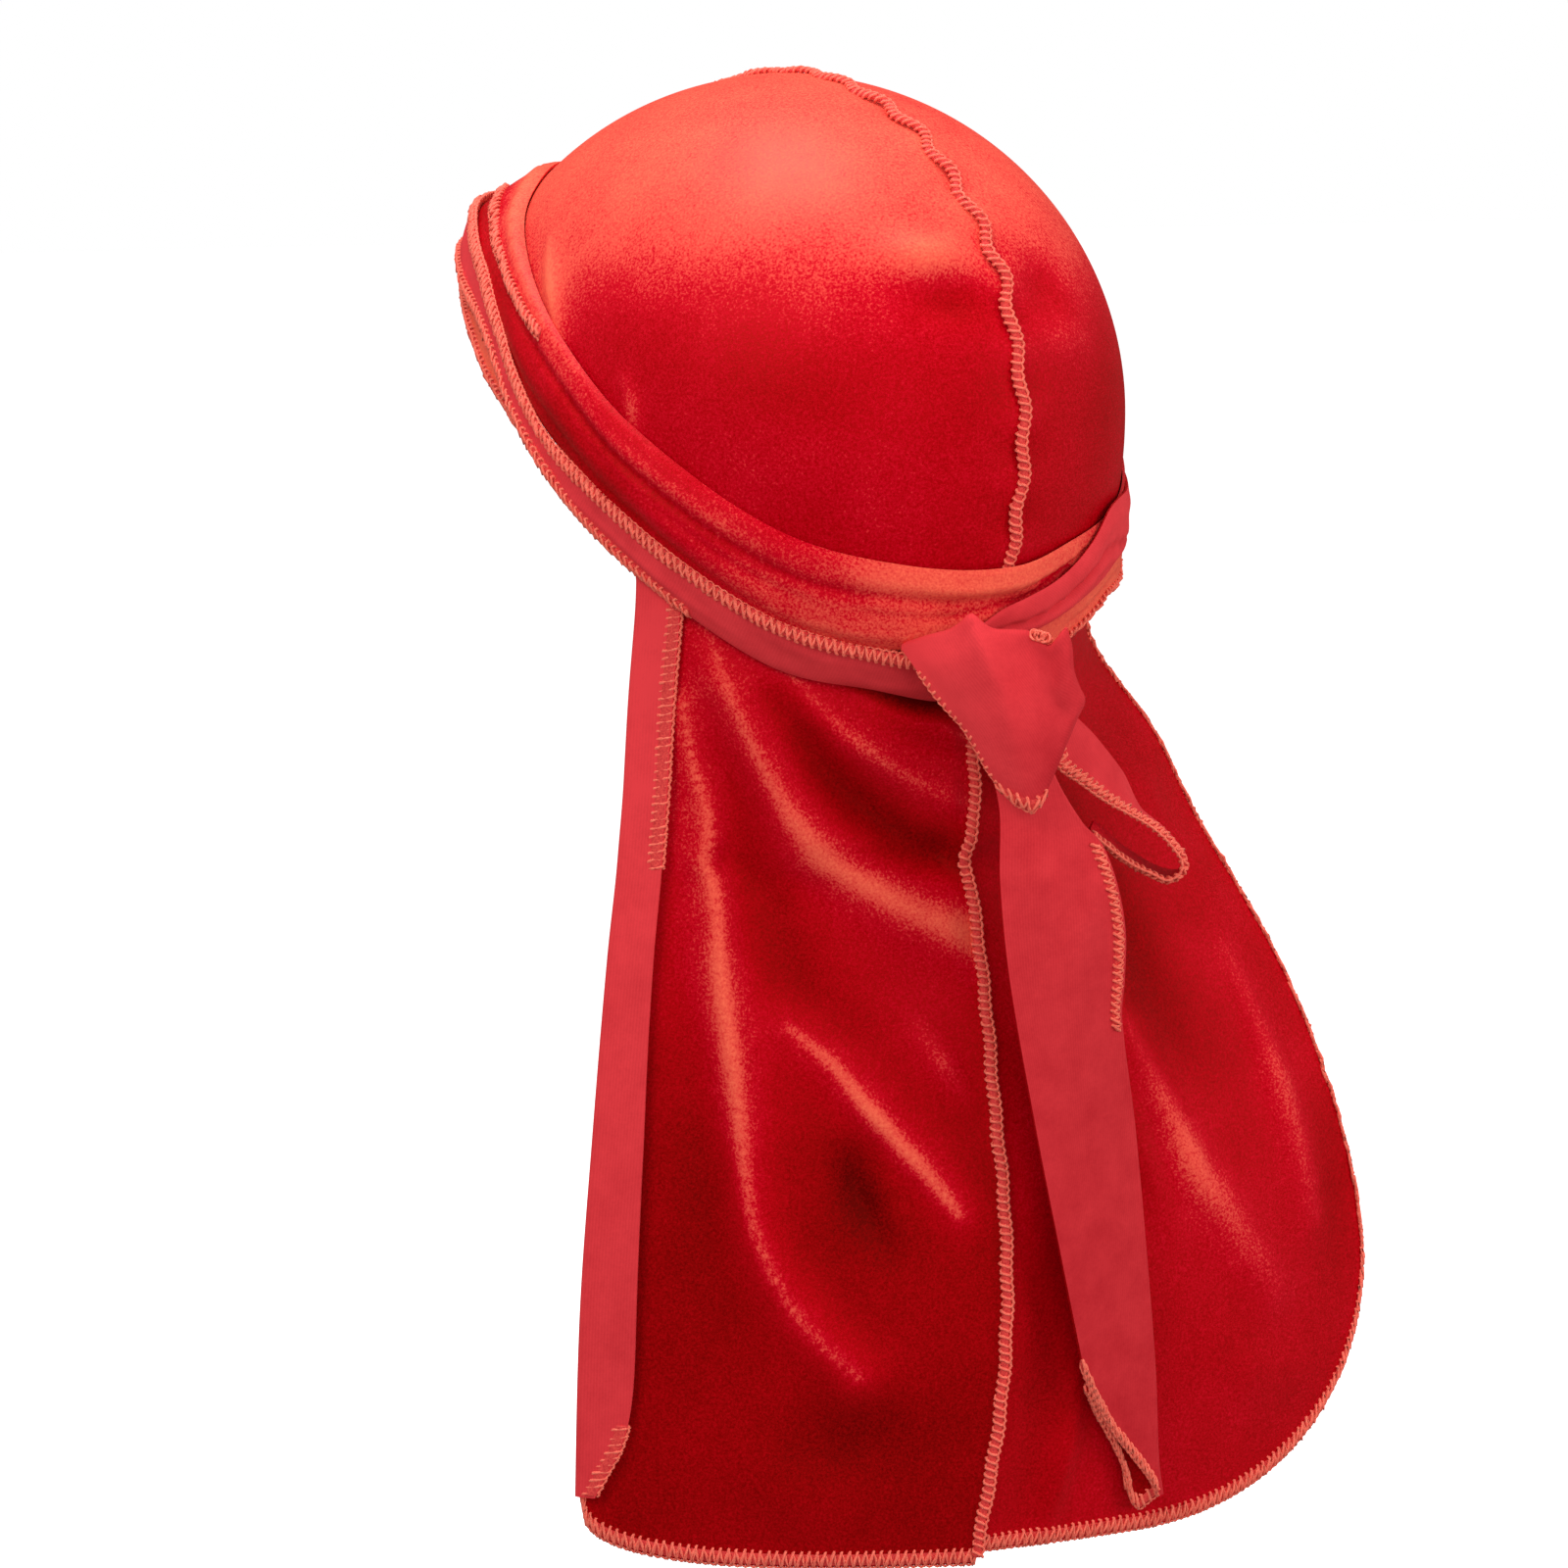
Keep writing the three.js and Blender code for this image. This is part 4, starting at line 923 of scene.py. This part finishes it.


# A winding's cloth and its painted light, from the stations
def tieGrid(tie):
    stations = tie["stations"]
    first, last = stations[0]["angle"], stations[-1]["angle"]
    steps = round(abs(last - first) * degree * tieShape["reach"] / cloth["tieStep"])
    angle = np.linspace(first, last, steps + 1)[None, :]
    share = np.linspace(0, 1, tie["columns"] + 1)[:, None]

    def read(column):
        return readTable(stations, "angle", column, angle)

    width = read("top") - read("bottom")
    level = read("top") - width * share
    flat = read("topLift") + (read("bottomLift") - read("topLift")) * share
    roundness = np.sqrt(np.clip(1 - np.abs(2 * share - 1) ** tieShape["roundness"], 0, None))
    lift = flat + read("belly") * roundness
    reach = head["halfDepth"] * degree
    folds = [{**fold, "line": [(a * reach, s) for a, s in fold["line"]]} for fold in tie["folds"]]
    across = angle * reach + 0 * share
    fade = smoothStep(share * tieShape["foldFade"]) * smoothStep((1 - share) * tieShape["foldFade"])
    lift = lift + foldRise(folds, across, share * width) * fade
    lift = np.maximum(lift, flat - tieShape["deepest"])
    waver = sum(size * np.sin(angle / span + share * lean) for size, span, lean in tieShape["wavers"])
    place, out = headAt(angle + 0 * share, level)
    # painted light from the upper to the lower edge, with painted highlights and shade on the folds
    top, bottom = [readTable(tie["paintedLights"], "angle", side, angle) for side in ("top", "bottom")]
    napAndPaintedLight = top + (bottom - top) * smoothStep(share * tieShape["paintedLightFall"])
    napAndPaintedLight = napAndPaintedLight + foldPaintedLight(folds, across, share * width)
    return place + out * (lift + waver * roundness)[..., None], napAndPaintedLight


# The second serged line of a winding, laid on its cloth
def innerEdge(tie, grid):
    first, last = tie["stations"][0]["angle"], tie["stations"][-1]["angle"]
    path = smoothCurve(tie["innerEdge"], 90)
    row = path[:, 1] * (grid.shape[0] - 1)
    column = (path[:, 0] - first) / (last - first) * (grid.shape[1] - 1)
    top, left = row.astype(int), column.astype(int)
    down, across = (row - top)[:, None], (column - left)[:, None]
    upper = grid[top, left] * (1 - across) + grid[top, left + 1] * across
    lower = grid[top + 1, left] * (1 - across) + grid[top + 1, left + 1] * across
    out = unit(np.cross(grid[top, left + 1] - grid[top, left], grid[top + 1, left] - grid[top, left]))
    _, away = headAt(path[:, 0], np.full(len(path), -60.0))
    out *= np.sign(np.einsum("ij,ij->i", out, away))[:, None]
    edge = upper * (1 - down) + lower * down + out * overlock["innerLift"]
    return edge, unit(upper - lower), out


def buildTie(tie):
    grid, napAndPaintedLight = tieGrid(tie)
    piece = makeSheet(tie["name"] + "_cloth", [grid], cloth["tieWall"], tie["outer"], tie["inner"], False,
                      [napAndPaintedLight])
    angles = np.linspace(tie["stations"][0]["angle"], tie["stations"][-1]["angle"], grid.shape[1])
    parts = []
    for side, start, end, width in tie["stitches"]:
        edge, inward, out = gridEdge(grid, side)
        keep = (angles >= start) & (angles <= end)
        parts += stitchEdge(edge[keep], inward[keep], out[keep], width=width, height=overlock["tieHeight"])
    if "innerEdge" in tie:
        parts += stitchEdge(*innerEdge(tie, grid), width=overlock["innerWidth"], height=overlock["tieHeight"])
    stitches = makeStitches(tie["name"] + "_overlock", parts) if parts else None
    return piece, stitches


wound = {tie["name"]: buildTie(tie) for tie in (leftFirstPass, leftSecondPass, rightFirstPass,
                                                rightSecondPass)}
print("ties wound")


# The loose ends hang from the knot and face between the back and the wearer's left
looseEnds = {"facing": 36, "hem": {"width": 3.6, "height": 0.62}}


# From across (towards the wearer's right), out and level
def looseEnd(points):
    points = np.array(points, float)
    turn = looseEnds["facing"] * degree
    across, out, level = points[..., 0], points[..., 1], points[..., 2]
    return np.stack([-across * math.cos(turn) + out * math.sin(turn),
                     across * math.sin(turn) + out * math.cos(turn), level], -1)


# A grid between four edges that meet at their corners
def fillEdges(end):
    top, bottom = [smoothCurve(end[side], end["columns"] + 1) for side in ("top", "bottom")]
    left, right = [smoothCurve(end[side], end["rows"] + 1) for side in ("left", "right")]
    u = np.linspace(0, 1, end["columns"] + 1)[None, :, None]
    v = np.linspace(0, 1, end["rows"] + 1)[:, None, None]
    corners = ((1 - u) * (1 - v) * top[0] + u * (1 - v) * top[-1]
               + (1 - u) * v * bottom[0] + u * v * bottom[-1])
    return (1 - v) * top + v * bottom + (1 - u) * left[:, None] + u * right[:, None] - corners


# The short end lies over the knot as a pointed flap, and its top edge is folded back
shortEnd = {
    "top": [(29.5, 88, -143.5), (34, 91.5, -141.5), (38, 94, -140), (41, 95.5, -139), (44.5, 97.5, -136.5),
            (46.5, 98.5, -134.5), (49, 98, -136.5), (52, 97, -138.5), (57, 95.5, -139), (61.5, 94.5, -139.5),
            (64.5, 95, -142), (66.5, 96, -143), (68.5, 97, -141), (70, 97, -139), (71, 95.5, -138.5)],
    "left": [(29.5, 88, -143.5), (32.5, 92, -147.5), (36, 94, -152.5), (39.5, 95, -157), (45, 96, -163),
             (48.5, 96, -169), (52, 96, -175), (55, 96, -178.5)],
    "right": [(71, 95.5, -138.5), (72, 95, -142), (72.5, 95, -148), (74, 94.5, -152.5), (75.5, 94, -156),
              (73.5, 95, -160.5), (70, 96, -169), (68, 96, -174), (66, 96, -178.5), (65, 96, -181)],
    "bottom": [(55, 96, -178.5), (57.5, 96, -181.5), (60, 96.5, -183), (62.5, 96.5, -184), (65, 96, -181)],
    "folds": [crease([(46.5, -135), (44.5, -146), (46, -160)], (0.5, 0.4, 0.1), (2.5, 7)),
              crease([(60, -141), (58, -148), (56, -156)], (-0.9, -1.0, -0.2), (4, 6)),
              crease([(71, -140), (70.5, -150), (68, -164)], (0.8, 1.0, 0.3), (2.5, 4)),
              crease([(31, -145), (38, -152), (48, -166)], (-0.5, -0.6, 0), (2, 2))],
    "napAndPaintedLight": (0.82, 0.2), "tuft": {"centre": (64.3, 95.8, -139.6), "half": (2.4, 1.3, 1.5), "loops": 7,
                                  "thread": 0.36},
    "sideways": 0.75, "belly": 3.5, "rows": 44, "columns": 40, "sewnRow": 14,
    "foldBack": {"length": 7, "rows": 6, "thick": 2.2, "high": 0.9, "turned": 0.625, "hangs": 0.6},
    "side": {"width": 1.2, "height": 0.4},
}


def shortEndGrid():
    grid = fillEdges(shortEnd)
    u = np.linspace(0, 1, grid.shape[1])[None, :]
    v = np.linspace(0, 1, grid.shape[0])[:, None]
    down = 0.12 + 0.88 * v
    grid[..., 1] += shortEnd["belly"] * np.sin(math.pi * u) ** 0.7 * np.sin(math.pi * down) ** 0.8
    grid[..., 1] += foldRise(shortEnd["folds"], grid[..., 0], grid[..., 2]) * smoothStep(v * 6 + 0.2)
    fold = shortEnd["foldBack"]
    back = []
    corner = 0.12 + 0.88 * smoothStep(u[0] * 6)
    for share in np.linspace(1, 0, fold["rows"] + 1)[:-1]:
        row = grid[0].copy()
        turn = min(share / fold["turned"], 1) * math.pi
        row[:, 1] -= fold["thick"] / 2 * (1 - math.cos(turn))
        hang = max(0, share - fold["hangs"]) / (1 - fold["hangs"]) * fold["length"]
        row[:, 2] += fold["high"] * math.sin(turn) - hang * corner
        back.append(row)
    return looseEnd(np.concatenate([np.array(back), grid]))


# Thread ends of the overlock, bunched in the fold at the flap's top
def shortEndTuft():
    tuft = shortEnd["tuft"]
    turn = np.linspace(0, 2 * math.pi * tuft["loops"], 26 * tuft["loops"])
    drift = np.linspace(-1, 1, len(turn))
    path = np.stack([0.75 * drift + 0.45 * np.cos(turn), 0.6 * np.sin(1.7 * turn + 1),
                     0.8 * np.sin(turn) - 0.35 * drift], -1)
    path = looseEnd(np.array(tuft["centre"]) + path * np.array(tuft["half"]))
    return [(tube(path, np.array([0.3, 0.5, 0.8]), tuft["thread"], overlock["sides"]), 0)]


# Painted light: the flap and the long end are lighter at their upper left and shaded to their lower right
def paintedLightSlope(grid, end):
    rows, columns = np.indices(grid.shape[:2])
    share = (1 - end["sideways"]) * rows / rows.max() + end["sideways"] * columns / columns.max()
    return end["napAndPaintedLight"][0] + (end["napAndPaintedLight"][1] - end["napAndPaintedLight"][0]) * share


shortGrid = shortEndGrid()
shortFlap = makeSheet("short_tie_end_cloth", [shortGrid], cloth["tieWall"], knit, pileSide, True,
                      [paintedLightSlope(shortGrid, shortEnd)])
shortParts = stitchEdge(*gridEdge(shortGrid, "bottom", True), **looseEnds["hem"])
shortSide = gridEdge(shortGrid[shortEnd["sewnRow"]:], "first", True)
shortParts += stitchEdge(*shortSide, zigzag=False, **shortEnd["side"])
shortParts += shortEndTuft()
shortStitches = makeStitches("short_tie_end_overlock", shortParts)
print("short end made")


# The half bow: a ribbon whose stitched edge runs out, turns and comes back, with the velvet inside
loop = {
    "near": [(62, 79, -154), (66.5, 78, -163.5), (70, 76, -175), (75.5, 73.5, -179.5),
             (81.8, 70, -184.5), (89, 66.5, -189), (94.5, 63, -192.5), (98.5, 61, -196),
             (101.8, 59, -200), (103.5, 58, -203), (102.8, 58, -206), (99.5, 58.5, -207.5),
             (95.5, 60, -205.5), (91.5, 62, -203.5), (88, 65, -201), (84, 69, -197.5), (79, 74, -193)],
    "far": [(66, 69, -156), (75, 66, -164.5), (79.5, 64, -169), (85.5, 60, -176.5), (88, 57, -180),
            (92.5, 54, -188.5), (97, 51, -193), (100, 49, -196), (103, 47.5, -200), (105, 47, -203),
            (104.5, 47, -206.2), (101.5, 47, -206.8), (97, 49, -205), (92, 52, -201.5), (87.5, 56, -198),
            (84, 60, -194.5), (80, 64, -191)],
    # the loop's painted light is even over it, at the level given last
    "columns": 14, "rows": 120, "dish": 1.0, "ripple": 0.5, "rippleTurn": 9, "napAndPaintedLight": 0.52,
}


def loopGrid():
    near, far = smoothCurve(loop["near"], loop["rows"]), smoothCurve(loop["far"], loop["rows"])
    share = np.linspace(0, 1, loop["columns"] + 1)[None, :, None]
    grid = near[:, None] * (1 - share) + far[:, None] * share
    along = unit(np.gradient(grid, axis=0))
    out = unit(np.cross(along, unit(far - near)[:, None] + 0 * grid))
    turn = np.linspace(0, loop["rippleTurn"], loop["rows"])
    ripple = loop["ripple"] * np.sin(turn)[:, None, None] * share
    grid = grid - out * (loop["dish"] * np.sin(math.pi * share) + ripple)
    return looseEnd(grid)


bowGrid = loopGrid()
bow = makeSheet("tie_loop_cloth", [bowGrid], cloth["tieWall"], knit, pileSide, True,
                [np.full(bowGrid.shape[:2], loop["napAndPaintedLight"])])
bowParts = stitchEdge(*gridEdge(bowGrid, "first", True), **looseEnds["hem"])
bowStitches = makeStitches("tie_loop_overlock", bowParts)
print("loop made")


# The long end is folded lengthwise, with its fold on the right and its cut end on a slant
longEnd = {
    "top": [(50, 86, -160), (56, 88, -161), (62, 85, -160)],
    "left": [(50, 86, -160), (53, 87, -177), (54.5, 88.5, -186), (54.5, 92, -203), (57, 92.5, -228),
             (64, 88.5, -267), (72, 83, -307), (77.5, 79, -334)],
    "right": [(62, 85, -160), (68, 82.5, -177.5), (75, 81, -189.5), (80, 80, -195), (84, 79, -205),
              (86.5, 77, -218), (86.5, 75.5, -231), (86, 74, -241.5), (90, 69, -271), (94, 67, -311),
              (96.3, 65, -337.5), (97.5, 64, -362), (98.8, 63, -371.5)],
    "bottom": [(77.5, 79, -334), (81.5, 75, -343.5), (85.5, 71.5, -351.5), (90, 68.5, -358),
               (95.3, 65, -365.5), (98.8, 63, -371.5)],
    "backEnd": [(79, 76.5, -340), (83, 71, -350), (87, 67, -358), (90, 65, -366), (92, 63, -374),
                (96, 61.5, -376.5)],
    "folds": [crease([(60, -190), (70, -215), (74, -250), (82, -290)], (0.3, 1.3, 0.2), (6, 8)),
              crease([(68, -240), (76, -275), (86, -325)], (-0.2, -0.9, -0.3), (4, 6)),
              crease([(82, -200), (79, -212), (73, -228)], (0.5, 1.0, 0.1), (3, 5))],
    "napAndPaintedLight": (0.46, 0.24), "sideways": 0.1, "gap": 2.0, "foldOut": 0.9, "belly": 1.6,
    "sewnFrom": -195, "sewnTo": -245, "slantFrom": 0.72,
    "rows": 120, "columns": 22, "turnColumns": 5, "backColumns": 16, "endPoints": 18,
    "backHem": {"width": 3.4, "height": 0.62},
    "side": {"width": 2.8, "height": 0.8},
}


def longEndGrids():
    front = fillEdges(longEnd)
    u = np.linspace(0, 1, front.shape[1])[None, :]
    v = np.linspace(0, 1, front.shape[0])[:, None]
    front[..., 1] += longEnd["belly"] * np.sin(math.pi * u) * np.sin(math.pi * np.clip(v * 1.05, 0, 1))
    front[..., 1] += foldRise(longEnd["folds"], front[..., 0], front[..., 2])
    rightEdge = front[:, -1]
    fold = []
    for turn in np.linspace(0, math.pi, longEnd["turnColumns"] + 1)[1:]:
        column = rightEdge.copy()
        column[:, 0] += longEnd["foldOut"] * math.sin(turn)
        column[:, 1] -= longEnd["gap"] / 2 * (1 - math.cos(turn))
        fold.append(column)
    behind = fold[-1]
    end = smoothCurve(longEnd["backEnd"], longEnd["endPoints"])[::-1]
    drop = np.linspace(0, 1, front.shape[0])[:, None]
    slant = smoothStep((drop - longEnd["slantFrom"]) / (1 - longEnd["slantFrom"]))
    for share in np.linspace(0, 1, longEnd["backColumns"] + 1)[1:]:
        column = behind + (front[:, 0] - [0, longEnd["gap"], 0] - behind) * share
        reach = readPoints(end, np.linspace(0, 1, longEnd["endPoints"]), share)
        fold.append(column + (reach - column[-1]) * slant)
    return looseEnd(np.concatenate([front, np.stack(fold, 1)], 1))


longGrid = longEndGrids()
longTie = makeSheet("long_tie_end_cloth", [longGrid], cloth["tieWall"], knit, pileSide, True,
                    [paintedLightSlope(longGrid, longEnd)])
frontGrid = longGrid[:, :longEnd["columns"] + 1]
backGrid = longGrid[:, longEnd["columns"] + longEnd["turnColumns"]:]
longParts = stitchEdge(*gridEdge(frontGrid, "bottom", True), **looseEnds["hem"])
longParts += stitchEdge(*gridEdge(backGrid, "bottom", True), **longEnd["backHem"])
levels = frontGrid[:, -1, 2]
sewn = (levels < longEnd["sewnFrom"]) & (levels > longEnd["sewnTo"])
longParts += stitchEdge(*gridEdge(frontGrid[sewn], "last", True), **longEnd["side"])
longStitches = makeStitches("long_tie_end_overlock", longParts)
print("long end made")


# The knot: a small tight bun with the cloth's turns round it
# the knot's painted light is even over it
knot = {"centre": (0, 94.5, -151.5), "half": (10.5, 6.2, 8), "turns": 0.16, "creases": 0.07, "napAndPaintedLight": 0.4,
        "clothScale": 0.05}


def buildKnot():
    bpy.ops.object.select_all(action="DESELECT")
    bpy.ops.mesh.primitive_uv_sphere_add(segments=64, ring_count=40, radius=1)
    piece = bpy.context.object
    piece.name = "tie_knot_cloth"
    for vertex in piece.data.vertices:
        x, y, z = vertex.co
        turn = math.atan2(z, x)
        waist = 1 + knot["turns"] * math.cos(3 * math.pi * x) + knot["creases"] * math.cos(9 * turn + 5 * x)
        vertex.co = Vector((x, y * waist, z * waist))
        vertex.co = Vector([c * half for c, half in zip(vertex.co, knot["half"])])
        vertex.co = (vertex.co + Vector(knot["centre"])) * mm
    piece.data.materials.append(knit)
    piece.data.uv_layers[0].name = "cloth"
    for corner in piece.data.uv_layers[0].data:
        corner.uv = corner.uv * knot["clothScale"]
    setPaintedLight(piece, np.full(len(piece.data.vertices), knot["napAndPaintedLight"]))
    bpy.ops.object.shade_smooth()
    return piece


knotPiece = buildKnot()
print("knot made")


# What each piece is, what it stands for and the size its cloth was cut to

pieces = [
    (leftPanel, ["left_panel"], "velvet"),
    (rightPanel, ["right_panel"], "velvet"),
    (centreSeam, ["centre_seam"], "overlock_thread"),
    (leftHem, [], "overlock_thread"),
    (rightHem, [], "overlock_thread"),
    (shortFlap, ["short_tie_end"], "knit_back"),
    (shortStitches, [], "overlock_thread"),
    (bow, ["tie_loop"], "knit_back"),
    (bowStitches, [], "overlock_thread"),
    (longTie, ["long_tie_end"], "knit_back"),
    (longStitches, [], "overlock_thread"),
    (knotPiece, ["tie_knot"], "knit_back"),
]
for tieName, (piece, stitches) in wound.items():
    pieces.append((piece, [tieName], "velvet" if "first" in tieName else "knit_back"))
    if stitches:
        pieces.append((stitches, [], "overlock_thread"))
for piece, nodes, slot in pieces:
    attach(piece, "root")
    if nodes:
        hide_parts(*nodes)

# Cut sizes in metres. The wound ties count the layer that shows of a 60 mm wide gathered tie.
cutSizes = [
    ("left_tie_first_pass_cloth", (0.022, 0.56), "gathered", ["left_panel_velvet", "right_panel_velvet"]),
    ("left_tie_second_pass_cloth", (0.012, 0.33), "gathered", ["left_tie_first_pass_cloth"]),
    ("right_tie_first_pass_cloth", (0.018, 0.42), "gathered", ["right_panel_velvet"]),
    ("right_tie_second_pass_cloth", (0.020, 0.32), "gathered", ["right_tie_first_pass_cloth"]),
    ("short_tie_end_cloth", (0.045, 0.050), "folded", ["tie_knot_cloth"]),
    ("tie_loop_cloth", (0.012, 0.115), "folded", ["tie_knot_cloth"]),
    ("long_tie_end_cloth", (0.050, 0.225), "folded", ["tie_knot_cloth"]),
]
for name, flat, held, under in cutSizes:
    stitches = name.replace("_cloth", "_overlock")


# Floor, light and camera

bpy.ops.object.select_all(action="DESELECT")
bpy.ops.mesh.primitive_plane_add(size=30, location=(0, 0, -0.6))
floor = bpy.context.object
floor.name = "floor"
paper = newMaterial("floor_paper", {"Base Color": linear("f4f4f2"), "Roughness": 0.9,
                                    "Emission Color": linear("ffffff"), "Emission Strength": 0.8})[0]
floor.data.materials.append(paper)
floor.visible_diffuse = False
floor.visible_glossy = False

scene = bpy.context.scene
scene.view_settings.view_transform = "Standard"

world = bpy.data.worlds.new("studio")
scene.world = world
world.use_nodes = True
ambient = world.node_tree.nodes["Background"]
ambient.inputs["Color"].default_value = linear("ffffff")
ambient.inputs["Strength"].default_value = 0.4
# glossy rays see a dim warm room, so that no pale wash lies over the pile
dim = addNode(world, "ShaderNodeBackground", {"Color": linear("ffb0a0"), "Strength": 0.15})
backdrop = addNode(world, "ShaderNodeBackground", {"Color": linear("ffffff"), "Strength": 1.0})
seen = addNode(world, "ShaderNodeLightPath")
room = addNode(world, "ShaderNodeMixShader", links={
    0: seen.outputs["Is Glossy Ray"], 1: ambient.outputs[0], 2: dim.outputs[0]})
both = addNode(world, "ShaderNodeMixShader", links={
    0: seen.outputs["Is Camera Ray"], 1: room.outputs[0], 2: backdrop.outputs[0]})
world.node_tree.links.new(both.outputs[0], world.node_tree.nodes["World Output"].inputs["Surface"])

# Place in metres, the size across and the power in watts
lamps = [
    {"name": "key", "place": (0.2, -0.2, 1.5), "size": 0.9, "power": 22},
    {"name": "camera_left", "place": (1.3, 0.5, 0.7), "size": 0.8, "power": 10},
    {"name": "camera_right", "place": (-0.9, 1.3, 0.3), "size": 1.2, "power": 12, "gloss": False},
    {"name": "camera_side", "place": (0.6, 1.5, 0.2), "size": 1.2, "power": 5},
]
for lamp in lamps:
    light = bpy.data.lights.new(lamp["name"], "AREA")
    light.shape = "DISK"
    light.size = lamp["size"]
    light.energy = lamp["power"]
    holder = bpy.data.objects.new(lamp["name"], light)
    scene.collection.objects.link(holder)
    holder.location = lamp["place"]
    holder.visible_glossy = lamp.get("gloss", True)
    holder.rotation_euler = (Vector((0, 0, -0.15)) - holder.location).to_track_quat("-Z", "Y").to_euler()

view = {"place": (0.8229, 1.1326, 0), "along": (-0.58243, -0.80165, -0.13462), "lens": 119.24,
        "shift": -0.00125}
camera = bpy.data.cameras.new("camera")
camera.lens = view["lens"]
camera.sensor_width = 36
camera.shift_x = view["shift"]
camera.clip_start = 0.05
cameraHolder = bpy.data.objects.new("camera", camera)
scene.collection.objects.link(cameraHolder)
cameraHolder.location = view["place"]
cameraHolder.rotation_euler = Vector(view["along"]).to_track_quat("-Z", "Y").to_euler()
scene.camera = cameraHolder

print("scene set")
